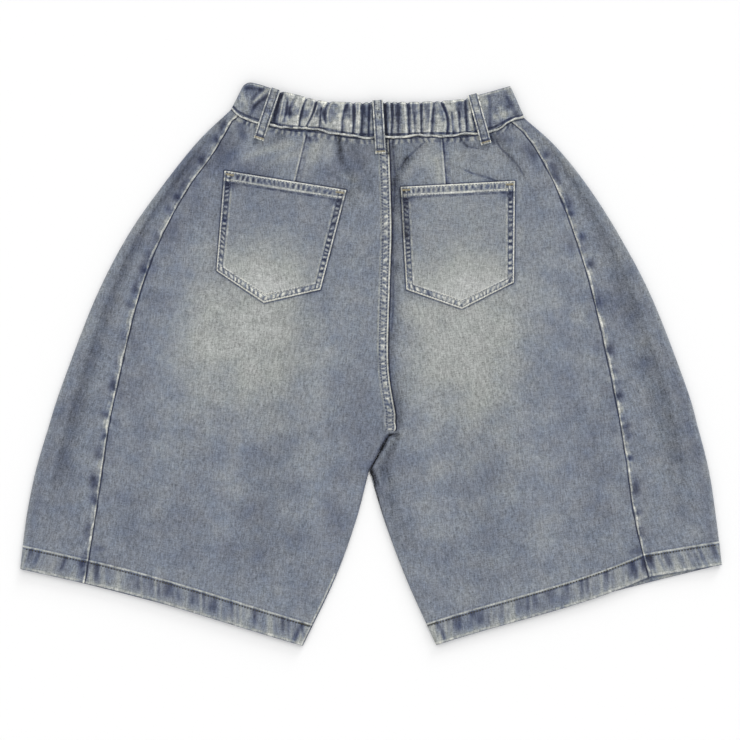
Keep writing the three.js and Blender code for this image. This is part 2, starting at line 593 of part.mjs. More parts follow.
// A strip of belt loop: route gives the height of its face towards the garment, from top end to low end
function beltLoop({ topX, topY, lowX, lowY }, route, cloth) {
  const from = new THREE.Vector3(topX, topY, 0);
  const to = new THREE.Vector3(lowX, lowY, 0);
  const length = from.distanceTo(to);
  const side = to.clone().sub(from).normalize().cross(new THREE.Vector3(0, 0, 1));
  const face = (extra) => (across, along) => {
    const p = from.clone().lerp(to, along).addScaledVector(side, (across - 0.5) * LOOP_WIDTH);
    p.z = route(along * length) + extra;
    return p;
  };
  return clothWall(face(cloth), face(0), [0, 0.5, 1], [0, LOOP_TURN, ...evenly(LOOP_TURN, 1, 11)]);
}

// Back loops ride over the gathers and come down onto the panel below the waist seam
const LOOP_OVER_BAND = ELASTIC_UPPER + ELASTIC_PUFF + LOOP_LIFT;
const LOOP_ON_PANEL = UPPER_LEVEL + WAIST_RISE + FELL_STEP + LOOP_LIFT;
const backLoopRoute = (bandLength) => (run) =>
  lerp(LOOP_OVER_BAND, LOOP_ON_PANEL, smoothstep(run, bandLength, bandLength + LOOP_RAMP));

// Front loops lie flat on the surface, under the waistband
const FRONT_LOOP_CLOTH = BAND_UNDER - LOOP_LIFT;

// The waist button: a shank under a flat cap, lying cap down on the surface
function waistButton() {
  const profile = [
    [0, 0],
    [BUTTON_RADIUS - 2 * BUTTON_BEVEL, 0],
    [BUTTON_RADIUS, BUTTON_BEVEL],
    [BUTTON_RADIUS - BUTTON_BEVEL, BUTTON_CAP],
    [SHANK_RADIUS, BUTTON_CAP],
    [SHANK_RADIUS, BUTTON_HEIGHT],
    [0, BUTTON_HEIGHT],
  ].map(([radius, height]) => new THREE.Vector2(radius, height));
  return new THREE.LatheGeometry(profile, 24).rotateX(Math.PI / 2);
}

function named(name, geometry, finish) {
  const mesh = new THREE.Mesh(geometry, new THREE.MeshStandardMaterial(finish));
  mesh.name = name;
  return mesh;
}

const shorts = new THREE.Group();
shorts.add(
  named("back_panel_left", backPanel(LEFT), DENIM),
  named("back_panel_right", backPanel(RIGHT), DENIM),
  named("front_panel_left", frontPanel(LEFT), DENIM),
  named("front_panel_right", frontPanel(RIGHT), DENIM),
  named("waistband_back", elasticBack(), DARK_DENIM),
  named("waistband_front_left", frontBand(true), DARK_DENIM),
  named("waistband_front_right", frontBand(false), DARK_DENIM),
);
for (const pocket of POCKETS) shorts.add(named(pocket.name, patchPocket(pocket), LIGHT_DENIM));
for (const loop of BACK_LOOPS) {
  const middleX = (loop.topX + loop.lowX) / 2;
  const bandLength = loop.topY - waistSeamY(middleX);
  shorts.add(named(loop.name, beltLoop(loop, backLoopRoute(bandLength), LOOP_CLOTH), LIGHT_DENIM));
}
for (const loop of FRONT_LOOPS) {
  shorts.add(named(loop.name, beltLoop(loop, () => 0, FRONT_LOOP_CLOTH), LIGHT_DENIM));
}

const button = named("waist_button", waistButton(), BRASS);
button.position.set(CENTRE_FRONT, (FRONT_SEAM_LOW + bandTopY(CENTRE_FRONT) - FRONT_BAND_DROP) / 2, 0);
shorts.add(button);

export default shorts;
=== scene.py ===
import math
from collections import namedtuple

import bmesh
import bpy
import numpy as np
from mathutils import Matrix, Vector
from mathutils.bvhtree import BVHTree


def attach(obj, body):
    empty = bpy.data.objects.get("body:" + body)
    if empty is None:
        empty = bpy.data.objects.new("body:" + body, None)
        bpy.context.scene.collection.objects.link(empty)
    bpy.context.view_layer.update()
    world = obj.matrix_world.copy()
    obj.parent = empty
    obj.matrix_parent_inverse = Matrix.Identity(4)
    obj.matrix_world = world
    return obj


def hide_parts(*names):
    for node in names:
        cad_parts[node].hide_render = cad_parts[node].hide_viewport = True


bl_info = {
    "name": "Denim shorts, laid flat",
    "version": (1, 0, 0),
    "blender": (4, 5, 0),
    "location": "3D View > Sidebar > Denim shorts",
    "description": "Dresses the packed denim shorts in washed denim, thread and metal",
    "category": "Object",
}

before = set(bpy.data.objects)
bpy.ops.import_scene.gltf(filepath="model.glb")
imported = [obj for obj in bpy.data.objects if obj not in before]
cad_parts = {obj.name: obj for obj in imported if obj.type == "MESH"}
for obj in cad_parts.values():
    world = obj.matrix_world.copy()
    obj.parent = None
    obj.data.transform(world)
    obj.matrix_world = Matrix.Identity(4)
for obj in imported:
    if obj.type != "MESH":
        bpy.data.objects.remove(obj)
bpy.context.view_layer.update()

# Shapes are worked out in millimetres, and become metres when a mesh is made
MM = 0.001

# The cloth and how it is sewn
SEAM_GAP = 0.3
WAIST_GAP = 0.7
EDGE_RUN = 3.0
HEM_DEPTH = 28.0
HEM_TURNING = 1.2
HEM_STEP = 0.8
HEM_STEP_RUN = 3.0
HEM_STEP_FROM = 8.5
HEM_STEP_TO = 8.6
HEM_STITCHES = 8.62
HEM_CALM = 0.8
FELL_WIDTH = 12.5
FELL_STEP = 0.6
FELL_EDGE = 1.12

# Heights of the layers above the surface
UPPER_LEVEL = 4.6
WAIST_RISE = 1.6
WAIST_RISE_RUN = 30.0
SIDE_ROLL = 1.3
SIDE_TROUGH = 0.7
ROLL_PLACE = 0.93
TROUGH_PLACE = 0.62
ROLL_SPREAD = 0.16
TROUGH_SPREAD = 0.15

# The waistband
BAND_UNDER = 1.8
BAND_CLOTH = 2.6
BAND_UPPER = 8.2
ELASTIC_UPPER = 8.7
ELASTIC_PUFF = 0.7
JOIN_LEFT = (-122.0, -110.5)  # where the bands meet, at the waist seam and at the top edge
JOIN_RIGHT = (130.0, 119.0)
CENTRE_FRONT = 20.7
LAP = 14.0
FRONT_SEAM_LOW = 260.0
FRONT_BAND_DROP = 4.0
SIDE_WRAP = 8.0

# Small pieces
LOOP_WIDTH = 12.0
LOOP_CLOTH = 1.4
LOOP_LIFT = 0.5
LOOP_RAMP = 8.0
POCKET_LIFT = 0.5
POCKET_HEM = 11.5
POCKET_HEM_STEP = 0.6
BUTTON_RADIUS = 8.5
BUTTON_HEIGHT = 1.5

# Sections of each leg from waist to hem: outermost fold, side seam, and inner edge
Section = namedtuple("Section", "fold_x fold_y seam_x seam_y inner_x inner_y")
LEFT_SECTIONS = [
    Section(-159.7, 295.9, -150.9, 288.3, 20.7, 262.8),
    Section(-197.6, 259.3, -178.0, 248.0, 22.8, 210.0),
    Section(-241.0, 205.0, -211.5, 202.0, 24.0, 150.0),
    Section(-280.4, 148.0, -243.0, 143.0, 22.0, 88.0),
    Section(-317.6, 75.3, -268.5, 74.0, 20.6, 0.0),
    Section(-356.0, -25.0, -292.5, -27.0, 29.8, -63.0),
    Section(-371.0, -72.0, -302.5, -76.0, -1.6, -121.3),
    Section(-385.6, -122.0, -309.7, -124.0, -17.0, -180.0),
    Section(-396.4, -176.0, -317.4, -177.0, -41.0, -246.0),
    Section(-403.4, -234.0, -329.2, -250.7, -77.6, -322.6),
]
RIGHT_SECTIONS = [
    Section(177.0, 285.4, 161.3, 281.2, 20.7, 262.8),
    Section(213.5, 252.0, 190.5, 248.0, 22.8, 210.0),
    Section(251.0, 205.0, 215.8, 200.5, 24.0, 150.0),
    Section(287.3, 148.0, 237.7, 142.0, 22.0, 88.0),
    Section(325.0, 75.3, 257.5, 75.0, 20.6, 0.0),
    Section(363.6, -25.0, 280.0, -27.0, 29.8, -63.0),
    Section(377.2, -72.0, 289.2, -76.0, -1.6, -121.3),
    Section(389.8, -122.0, 296.8, -125.0, 17.0, -182.0),
    Section(398.0, -176.0, 304.6, -177.0, 42.0, -248.0),
    Section(404.6, -229.4, 320.3, -243.5, 75.3, -321.8),
]
CROTCH_ROW = 5
CROTCH_ROUND = 0.12
FELL_END = 5.0
FORK_ROW = 6
HEM_ROW = len(LEFT_SECTIONS) - 1
WAIST_ROWS = 1.4

# The waist seam and the top edge of the band, as x and y
WAIST_SEAM = [
    (-159.7, 295.9),
    (-150.9, 288.3),
    (-132.1, 280.7),
    (-96.9, 273.0),
    (-58.2, 270.1),
    (-20.0, 263.7),
    (20.6, 262.8),
    (65.0, 264.5),
    (103.8, 264.7),
    (137.9, 269.9),
    (161.3, 281.2),
    (177.0, 285.4),
]
BAND_TOP = [
    (-147.0, 321.0),
    (-139.0, 325.0),
    (-126.0, 322.4),
    (-112.0, 317.8),
    (-86.0, 311.5),
    (-56.0, 304.2),
    (-20.0, 302.6),
    (15.9, 303.0),
    (56.9, 303.0),
    (99.1, 305.4),
    (122.5, 310.6),
    (161.0, 321.2),
]

# Gathers of the elasticated back: where a valley crosses the waist seam and the top edge, how far it bows
# to the right between them, its half width and depth, and how far up from the seam it starts and ends
Gather = namedtuple("Gather", "seam top bow half depth start end")
GATHERS = [
    Gather(-112.0, -104.0, 0.0, 3.2, 2.0, 0.0, 1.0),
    Gather(-103.0, -96.0, 3.0, 1.6, 0.7, 0.2, 0.8),
    Gather(-91.0, -85.0, -5.0, 2.2, 0.7, 0.3, 0.9),
    Gather(-82.5, -73.5, -1.5, 1.4, 1.8, 0.0, 1.0),
    Gather(-75.8, -62.0, 2.0, 1.4, 1.8, 0.0, 1.0),
    Gather(-59.5, -55.0, 0.0, 1.8, 1.2, 0.0, 0.7),
    Gather(-47.0, -47.5, -6.0, 2.2, 1.3, 0.3, 1.0),
    Gather(-32.8, -27.0, -2.0, 2.2, 1.4, 0.0, 0.9),
    Gather(-20.7, -19.9, 1.0, 2.0, 1.8, 0.0, 1.0),
    Gather(-10.7, -8.9, 0.0, 2.4, 1.8, 0.0, 1.0),
    Gather(-2.6, -1.6, 0.0, 1.6, 1.3, 0.0, 1.0),
    Gather(17.2, 16.4, 0.0, 2.0, 1.7, 0.0, 1.0),
    Gather(23.6, 24.0, 1.0, 1.6, 1.3, 0.0, 1.0),
    Gather(31.8, 31.6, 0.0, 2.4, 1.1, 0.0, 1.0),
    Gather(44.6, 42.6, 0.0, 2.2, 1.5, 0.0, 1.0),
    Gather(51.2, 49.6, 0.0, 1.8, 1.0, 0.0, 0.6),
    Gather(58.6, 57.6, 0.0, 1.8, 1.9, 0.0, 1.0),
    Gather(69.8, 73.0, 0.0, 2.0, 1.4, 0.0, 1.0),
    Gather(87.6, 80.6, 4.0, 1.8, 1.7, 0.0, 1.0),
    Gather(95.4, 92.0, 0.0, 2.0, 1.0, 0.0, 0.6),
    Gather(102.9, 100.4, 0.0, 1.8, 1.0, 0.0, 0.6),
    Gather(110.8, 108.6, 0.0, 2.0, 1.9, 0.0, 1.0),
    Gather(121.0, 114.6, 0.0, 2.2, 1.2, 0.0, 1.0),
]

# Creases on the upper side of the panels. A negative height is a trough.
Crease = namedtuple("Crease", "x1 y1 x2 y2 half height")
CREASES = [
    Crease(26, 250, 28, 205, 5, -1.2),
    Crease(28, 205, 29, 110, 5, -1.2),
    Crease(29, 110, 28, 20, 6, -0.9),
    Crease(36, -20, 12, -130, 10, -0.8),
    Crease(12, -130, 40, -205, 12, -0.6),
    Crease(50, 262, 36, 228, 6, -0.9),
    Crease(-37, 264, -34, 232, 5, -1.1),
    Crease(-20, 250, -6, 205, 10, -0.7),
    Crease(142, 262, 164, 232, 6, -0.9),
    Crease(98, 262, 118, 238, 8, -0.6),
    Crease(-126, 262, -164, 222, 12, 0.8),
    Crease(-215, 120, -262, -120, 26, 0.6),
    Crease(-95, 30, -128, -210, 30, -0.6),
    Crease(205, 110, 236, -150, 26, 0.6),
    Crease(118, 20, 132, -230, 30, -0.5),
    Crease(-70, -120, -46, -215, 16, 0.6),
    Crease(-125, 248, -81, 231, 8, 0.5),
    Crease(-104, 259, -125, 219, 7, -0.5),
    Crease(-52, 259, -56, 222, 6, -0.4),
    Crease(-21, 248, 2, 202, 9, -0.5),
    Crease(15, 230, 13, 144, 4, -0.5),
    Crease(64, 262, 58, 238, 6, 0.4),
    Crease(112, 258, 140, 226, 9, 0.4),
    Crease(-150, 262, -176, 232, 8, -0.5),
    Crease(-200, 215, -250, 130, 14, 0.5),
    Crease(210, 205, 246, 130, 12, 0.4),
    Crease(-30, 60, -70, -60, 18, 0.5),
    Crease(60, -40, 84, -190, 16, 0.5),
    Crease(-150, -80, -180, -225, 18, 0.5),
    Crease(180, -70, 205, -215, 18, 0.45),
    Crease(-250, -60, -275, -200, 14, -0.5),
    Crease(240, -60, 262, -190, 14, -0.45),
]

# Places where the cloth is washed paler, or darker where the change is negative. turn is in degrees.
Wear = namedtuple("Wear", "x y half_width half_length turn change")
WEAR = [
    Wear(-121, 40, 62, 100, -12, 0.25),
    Wear(-190, 62, 30, 60, -20, 0.06),
    Wear(120, 52, 62, 95, 10, 0.23),
    Wear(72, 4, 36, 56, 0, 0.11),
    Wear(-156, 236, 34, 24, -35, -0.14),
    Wear(-30, 234, 34, 26, 0, -0.07),
    Wear(62, 242, 40, 24, 0, 0.06),
    Wear(120, 236, 40, 24, 0, 0.04),
    Wear(-212, 225, 42, 30, -50, -0.14),
    Wear(-236, 148, 24, 46, -30, -0.1),
    Wear(-372, -60, 26, 90, -12, -0.06),
    Wear(370, -60, 26, 90, 12, -0.04),
    Wear(-190, 28, 28, 62, -10, 0.09),
    Wear(-64, 84, 26, 50, 0, -0.1),
    Wear(-153, -92, 28, 26, 0, -0.07),
    Wear(-272, -30, 24, 60, -10, -0.08),
    Wear(-236, 70, 20, 26, -20, -0.08),
    Wear(-40, -178, 18, 32, 0, -0.08),
    Wear(4, -116, 26, 40, 0, -0.08),
    Wear(126, -42, 26, 58, 0, 0.1),
    Wear(208, -6, 28, 70, 0, -0.07),
    Wear(248, -108, 26, 60, 0, -0.07),
    Wear(286, 66, 20, 36, 20, -0.09),
    Wear(50, 64, 16, 16, 0, 0.12),
    Wear(100, 190, 60, 30, 0, 0.05),
    Wear(-100, 185, 60, 30, 0, -0.04),
    Wear(-180, -200, 150, 40, -8, -0.05),
    Wear(-12, -40, 30, 70, 0, -0.04),
    Wear(-122, 258, 60, 10, -15, 0.05),
    Wear(-62, 250, 18, 16, 0, 0.07),
]

# Soft streaks along a line: change tells how much paler the wash is, and shade how much of the light is lost, as
# painted shade in folds, gaps and beside the loops, or painted light where it is negative. Where a streak also has
# shade, a negative change is painted shade too.
Streak = namedtuple("Streak", "x1 y1 x2 y2 half change shade", defaults=(0.0,))
STREAKS = [
    Streak(63, 256, 42, 238, 4, 0, 0.1),  # folds below the gathers, right
    Streak(42, 238, 31, 214, 5, -0.03, 0.15),
    Streak(50, 236, 42, 222, 4, 0.05),
    Streak(104, 260, 110, 253, 3, -0.08, 0.12),
    Streak(110, 253, 136, 251, 3, -0.05, 0.1),
    Streak(143, 262, 160, 240, 4, 0, 0.1),
    Streak(160, 240, 176, 218, 4, 0, 0.07),
    Streak(153, 262, 160, 258, 6, -0.15),
    Streak(178, 250, 188, 242, 6, -0.18),
    Streak(109, 225, 145, 212, 2.5, -0.03, 0.05),
    Streak(82, 256, 84, 246, 2.5, -0.25),
    Streak(76, 236, 80, 214, 4, 0.1),
    Streak(26, 258, 29, 209, 5, 0, 0.1),  # beside the centre back seam
    Streak(29, 209, 26, 40, 5, 0, 0.05),
    Streak(23, 34, 23, 4, 4.5, 0, 0.12),
    Streak(24, -8, 29, -34, 7, 0, 0.14),
    Streak(31, -42, 33, -62, 5.5, 0, 0.14),
    Streak(32, -68, 31, -84, 2.5, 0, 0.1),
    Streak(1, -124, 9, -158, 1.6, 0, 0.22),
    Streak(31, -84, 21, -100, 4, -0.02, 0.12),
    Streak(20, -104, 15, -116, 4.5, -0.02, 0.11),
    Streak(17, -121, 27, -142, 6, 0, 0.09),
    Streak(25, -88, 12, -108, 3, 0.08),
    Streak(8, -114, 10, -134, 3.5, 0.07),
    Streak(22, -150, 30, -182, 7, 0, 0.06),
    Streak(-37, 264, -34, 240, 3.6, -0.03, 0.24),  # folds below the gathers, left
    Streak(-46, 252, -50, 236, 6, 0.06, -0.06),
    Streak(-31, 234, -21, 213, 4.4, 0, 0.14),
    Streak(-18, 208, -8, 202, 7, -0.02, 0.06),
    Streak(-32, 219, -18, 213, 4, 0.1),
    Streak(-26, 204, -22, 190, 6, 0, 0.1),
    Streak(-102, 265, -126, 253, 5, -0.04, 0.12),
    Streak(-92, 256, -146, 239, 5, 0.09),
    Streak(-78, 246, -120, 232, 5, 0.07),
    Streak(-150, 276, -146, 264, 5, -0.18),
    Streak(-128, 270, -133, 256, 3, -0.1, 0.2),
    Streak(-71, 262, -69, 259, 2.6, -0.35),
    Streak(-63, 263, -62, 259, 2.4, -0.3),
    Streak(-60, 258, -68, 236, 7, 0.08),
    Streak(37, 202, 41, 150, 5, -0.04, 0.22),  # edge of the right pocket, in the shade of a fold
    Streak(41, 150, 43, 110, 5, 0, 0.1),
    # painted shadow in the gap at the crotch: darker wash and lost light
    Streak(21, -80, 29, -80, 1.6, -0.25, 0.6),  # the gap where the felled seam ends at the crotch
    Streak(18.5, -84, 12, -97, 2.0, -0.2, 0.44),
    Streak(9, -104, 0, -119, 1.0, -0.1, 0.3),
    Streak(1, -121, 5, -135, 3.4, -0.1, 0.46),
    Streak(316, -222, 322, -240, 4, -0.2),  # where the side seams cross the hems
    Streak(307, -226, 312, -242, 3.5, 0.16),
    Streak(301.5, -226, 306, -243, 1.8, -0.3),
    Streak(300, -215, 311, -212, 3, -0.16),
    Streak(-316, -210, -309, -211, 3, -0.16),
    Streak(-314, -229, -316, -246, 2.4, -0.25),
    Streak(-320, -231, -323, -245, 3, 0.14),
    Streak(-331, -237, -334, -243, 3, -0.14),
    Streak(-100.5, 313, -114, 280, 1.4, -0.2, 0.2),  # shadows beside the belt loops
    Streak(15.6, 303, 18.4, 263, 1.6, -0.3, 0.3),
    Streak(18.6, 262, 20.0, 243, 1.8, -0.2, 0.35),
    Streak(0.8, 303, 3.6, 266, 1.0, -0.2, 0.15),
    Streak(138.5, 262, 141.5, 256, 2.2, -0.2, 0.25),
    Streak(-117, 311, -133.5, 298, 2.2, -0.4),  # ends of the waistband
    Streak(-134, 296, -138, 288, 2.2, -0.3),
    Streak(-119, 316.5, -133, 303.5, 1.7, 0.3),
    Streak(-127, 315, -136, 306, 2.2, -0.3),
    Streak(-145, 319, -124, 317, 2.2, -0.3),
    Streak(-153, 299, -149, 312, 4, 0.16),
    Streak(-144, 306, -142, 292, 5, 0.14),
    Streak(136.6, 309, 137.5, 274, 1.8, -0.28),
    Streak(156, 310, 160, 298, 4, -0.2),
    Streak(163, 302, 168, 288, 2.5, -0.25),
    Streak(142, 284, 158, 289, 4, 0.2),
    Streak(127, 308, 133, 302, 3, 0.16),
]

# Thin sharp folds, as x and y along each. The shader draws a darker line along each, as painted shade in the crease.
THIN_FOLDS = [
    [(25.0, 259), (27.0, 236), (28.0, 209), (26.5, 179), (25.6, 144), (26.0, 100), (26.2, 70), (24.0, 40)],
    [(60, 255), (50, 246), (40, 236), (33, 226)],
    [(110, 224), (120, 220), (135, 216), (145, 212)],
    [(145, 259), (149, 251), (160, 240), (170, 229), (175, 220)],
    [(105, 259), (111, 252), (121, 250)],
]

# Seams on the hidden front, as x and y along each: the curved row of the fly and the pocket openings
FLY = [(56, 262), (55, 225), (54, 170), (50, 138), (40, 116), (23, 102)]
FRONT_OPENINGS = {
    "left": [(-104, 262), (-108, 226), (-124, 194), (-158, 172), (-205, 162), (-270, 158)],
    "right": [(146, 262), (150, 226), (166, 194), (200, 172), (245, 162), (290, 158)],
}

# Back pockets: corners of each patch
Pocket = namedtuple("Pocket", "side top_left top_right low_left low_right point")
POCKETS = [
    Pocket("left", (-167.9, 224.0), (-27.7, 201.7), (-177.3, 109.0), (-57.6, 87.3), (-122.7, 72.0)),
    Pocket("right", (34.5, 205.3), (166.2, 212.3), (41.2, 87.3), (165.0, 95.6), (105.1, 65.0)),
]

# Belt loops: middle of each end
Loop = namedtuple("Loop", "place top_x top_y low_x low_y")
BACK_LOOPS = [
    Loop("back_left", -108.8, 317.5, -128.6, 259.5),
    Loop("back_centre", 8.0, 304.5, 11.7, 243.5),
    Loop("back_right", 117.0, 311.2, 133.0, 254.5),
]
FRONT_LOOPS = [
    Loop("front_left", -73, 303, -80, 262),
    Loop("front_right", 100, 300, 106, 260),
]

# Darts, from the waist seam to the top of each back pocket
Dart = namedtuple("Dart", "side x1 y1 x2 y2")
DARTS = [
    Dart("left", -75.3, 265.1, -88.0, 212.2),
    Dart("right", 81.5, 259.3, 85.7, 208.1),
]

# Lines that the shader draws at a distance from a border: how wide they are, how much paler they are, how
# broken, how deep their groove is, and, where rungs cross them, along which distance and how far apart
Line = namedtuple("Line", "border at half soft change broken groove along pitch", defaults=(0.0, "", 0.0))
HEM_LINES = [
    Line("hem", 0.0, 0.3, 0.5, -0.3, 0.2),
    Line("hem", 1.6, 0.9, 1.4, 0.24, 0.8),
    Line("hem", HEM_DEPTH - 3.6, 0.7, 1.0, -0.2, 0.6, 0.25),
    Line("hem", HEM_DEPTH - 1.6, 0.7, 0.8, 0.32, 0.4),
    Line("hem", HEM_DEPTH + 0.6, 0.5, 0.9, -0.1, 0.8),
]


# Small sums used everywhere


def smoothstep(x, low, high):
    share = np.clip((x - low) / (high - low), 0, 1)
    return share * share * (3 - 2 * share)


def bell(distance, spread):
    return np.exp(-((distance / spread) ** 2))


def lerp(a, b, share):
    return a + (b - a) * share


def mix_points(a, b, share):
    return a + (b - a) * np.asarray(share)[..., None]


def length_of(a):
    return np.linalg.norm(a, axis=-1)


def with_height(plan, height):
    return np.concatenate([plan, np.broadcast_to(height, plan.shape[:-1])[..., None]], axis=-1)


def smooth_line(points):
    """A smooth line through the points. The function that comes back takes places counted in points."""
    points = np.array(points, float)
    before = 2 * points[0] - points[1]
    after = 2 * points[-1] - points[-2]
    padded = np.vstack([before, points, after])

    def at(place):
        place = np.clip(place, 0, len(points) - 1)
        first = np.minimum(np.floor(place).astype(int), len(points) - 2)
        t = (place - first)[..., None]
        p0, p1, p2, p3 = (padded[first + i] for i in range(4))
        slope_in = (p2 - p0) / 2
        slope_out = (p3 - p1) / 2
        return (
            p1 * (2 * t**3 - 3 * t**2 + 1)
            + slope_in * (t**3 - 2 * t**2 + t)
            + p2 * (3 * t**2 - 2 * t**3)
            + slope_out * (t**3 - t**2)
        )

    return at


def y_along(points):
    """The height of a line, at any x."""
    samples = smooth_line(points)(np.linspace(0, len(points) - 1, 16 * len(points)))
    return lambda x: np.interp(x, samples[:, 0], samples[:, 1])


waist_seam_y = y_along(WAIST_SEAM)
band_top_y = y_along(BAND_TOP)


def front_seam_y(x):
    """The waist seam of the front, straight from close to each fold down to the centre front."""
    side_x = np.where(x < CENTRE_FRONT, WAIST_SEAM[0][0] + SIDE_WRAP, WAIST_SEAM[-1][0] - SIDE_WRAP)
    share = (x - CENTRE_FRONT) / (side_x - CENTRE_FRONT)
    return np.where(share >= 1, waist_seam_y(x), lerp(FRONT_SEAM_LOW, waist_seam_y(side_x), share))


def ripple(place, pitch, seed):
    """Uneven waves from -1 to 1 along a seam, about two pitches long."""
    place = np.asarray(place) / pitch
    place = place - place.min()
    knots = np.random.default_rng(seed).uniform(-1, 1, int(place.max()) + 3)
    first = np.floor(place).astype(int)
    return lerp(knots[first], knots[first + 1], smoothstep(place - first, 0, 1))


def rungs(place, pitch, seed):
    """Puckers between two rows of stitches, nearly a pitch apart, from -1 to 1."""
    drift = ripple(place, 3 * pitch, seed)
    strength = 0.65 + 0.35 * ripple(place, 2 * pitch, seed + 500)
    return np.sin(2 * math.pi * np.asarray(place) / pitch + 2.5 * drift) * strength


def swell(x, y, size, seed):
    """Soft uneven waves over the cloth, about a size apart, from -1 to 1."""
    random = np.random.default_rng(seed)
    total = np.zeros_like(x)
    waves = 9
    for _ in range(waves):
        turn, phase = random.uniform(0, 2 * math.pi, 2)
        wavelength = size * random.uniform(0.7, 1.6)
        run = x * math.cos(turn) + y * math.sin(turn)
        total += np.sin(2 * math.pi * run / wavelength + phase)
    return total / waves * 2


def linear(code):
    """A colour written as an sRGB hex code, in linear light."""
    parts = [int(code[i : i + 2], 16) / 255 for i in (1, 3, 5)]
    return [p / 12.92 if p <= 0.04045 else ((p + 0.055) / 1.055) ** 2.4 for p in parts]


# The laid form of the legs


class Leg:
    """One leg of the shorts: its lines, by row of its sections."""

    def __init__(self, side, sections, fell, bow, under_bow):
        rows = np.array(sections)
        self.side = side
        self.fell = fell
        self.bow = bow
        self.under_bow = under_bow
        self.fold = smooth_line(rows[:, 0:2])
        self.seam = smooth_line(rows[:, 2:4])
        self.upper_inner = smooth_line(rows[: CROTCH_ROW + 1, 4:6])
        self.shared_inner = smooth_line(rows[CROTCH_ROW : FORK_ROW + 1, 4:6])
        self.lower_inner = smooth_line(rows[FORK_ROW:, 4:6])

    def inner(self, row):
        """The inner edge, with the crotch's corner rounded and the end of the fell just past it."""
        row = np.asarray(row, float)
        here = self.sharp_inner(row)
        around = (self.sharp_inner(row - CROTCH_ROUND) + self.sharp_inner(row + CROTCH_ROUND)) / 2
        line = mix_points(here, around, 0.5 * bell(row - CROTCH_ROW, CROTCH_ROUND))
        past = row - CROTCH_ROW
        line[..., 0] += FELL_END * smoothstep(past, 0, 0.2) * (1 - smoothstep(past, 0.24, 0.34))
        return line

    def sharp_inner(self, row):
        above = self.upper_inner(row)
        shared = self.shared_inner(row - CROTCH_ROW)
        below = self.lower_inner(row - FORK_ROW)
        picked = np.where(row[..., None] <= FORK_ROW, shared, below)
        return np.where(row[..., None] <= CROTCH_ROW, above, picked)


LEGS = {
    "left": Leg("left", LEFT_SECTIONS, FELL_STEP, 2.4, 4.0),
    "right": Leg("right", RIGHT_SECTIONS, 0.0, -4.6, 4.2),
}


def near_line(x, y, row):
    """1 on the line from x1, y1 to x2, y2 of a row, and less away from it."""
    run_x = row.x2 - row.x1
    run_y = row.y2 - row.y1
    share = ((x - row.x1) * run_x + (y - row.y1) * run_y) / (run_x**2 + run_y**2)
    share = np.clip(share, 0, 1)
    away = np.hypot(x - row.x1 - share * run_x, y - row.y1 - share * run_y)
    return bell(away, row.half)


def creases(x, y):
    return sum(crease.height * near_line(x, y, crease) for crease in CREASES)


def streak_wash(x, y):
    return sum(streak.change * near_line(x, y, streak) for streak in STREAKS)


def streak_shade(x, y):
    return sum(streak.shade * near_line(x, y, streak) for streak in STREAKS if streak.shade)


def light_lost(shade):
    """Share of the light that a shade as the eye judges it takes away."""
    return 1 - np.clip(1 - shade, 0.05, 1.5) ** 2.2


def in_hem(along):
    return smoothstep(along, HEM_STEP_FROM, HEM_STEP_TO)


def upper_level(x, y, along=0.0):
    """Outer face of the upper layer, before its felled seam and side roll."""
    below_seam = np.maximum(0, waist_seam_y(x) - y)
    pressed = HEM_CALM * smoothstep(np.asarray(along, float), HEM_ROW - 1.5, HEM_STEP_FROM)
    calm = smoothstep(below_seam, 2, 16) * (1 - pressed)
    waist = WAIST_RISE * bell(below_seam, WAIST_RISE_RUN)
    soft = 0.22 * swell(x, y, 75, 3) + 0.1 * swell(x, y, 34, 4)
    return UPPER_LEVEL + (creases(x, y) + soft) * calm + waist + HEM_STEP * in_hem(along)


def lower_level(x, y):
    """Outer face of the lower layer: flat, and lifted a little where the waistband starts."""
    return BAND_UNDER * bell(np.maximum(0, front_seam_y(x) - y), WAIST_RISE_RUN)


def row_of(along, length):
    """Rows near the hem keep the hem's depth from end to end of a section."""
    last = HEM_ROW - 1
    edge = HEM_DEPTH / length
    run = HEM_STEP_RUN / length
    share = along - last
    start = HEM_STEP_FROM - last
    end = HEM_STEP_TO - last
    above = last + (1 - edge) * share / start
    step = last + 1 - edge + run * (share - start) / (end - start)
    below = last + lerp(1 - edge + run, 1, (share - end) / (1 - end))
    return np.where(share <= 0, along, np.where(share <= start, above, np.where(share <= end, step, below)))


def upper_bow(share):
    return 6.75 * share * (1 - share) ** 2


def under_bow(share):
    return 4 * share * (1 - share)


def between(from_line, to_line, share, along, bow=0.0, waist_line=waist_seam_y):
    """A plan point between two of a leg's lines, with the hem's bow and the waist seam's own line."""
    rows = np.array([HEM_ROW - 1.0, HEM_ROW])
    from_end, to_end = from_line(rows), to_line(rows)
    from_length = length_of(from_end[1] - from_end[0])
    to_length = length_of(to_end[1] - to_end[0])
    row = row_of(along, lerp(from_length, to_length, share))
    plan = mix_points(from_line(row), to_line(row), share)
    plan[..., 1] += bow * smoothstep(row, HEM_ROW - 1, HEM_ROW)
    top = np.zeros(1)
    start = mix_points(from_line(top), to_line(top), share)
    dip = waist_line(plan[..., 0]) - WAIST_GAP - start[..., 1]
    plan[..., 1] += dip * (1 - smoothstep(row, 0, WAIST_ROWS))
    return plan


def inner_row(leg, along):
    ends = leg.inner(np.array([HEM_ROW - 1.0, HEM_ROW]))
    return row_of(along, length_of(ends[1] - ends[0]))


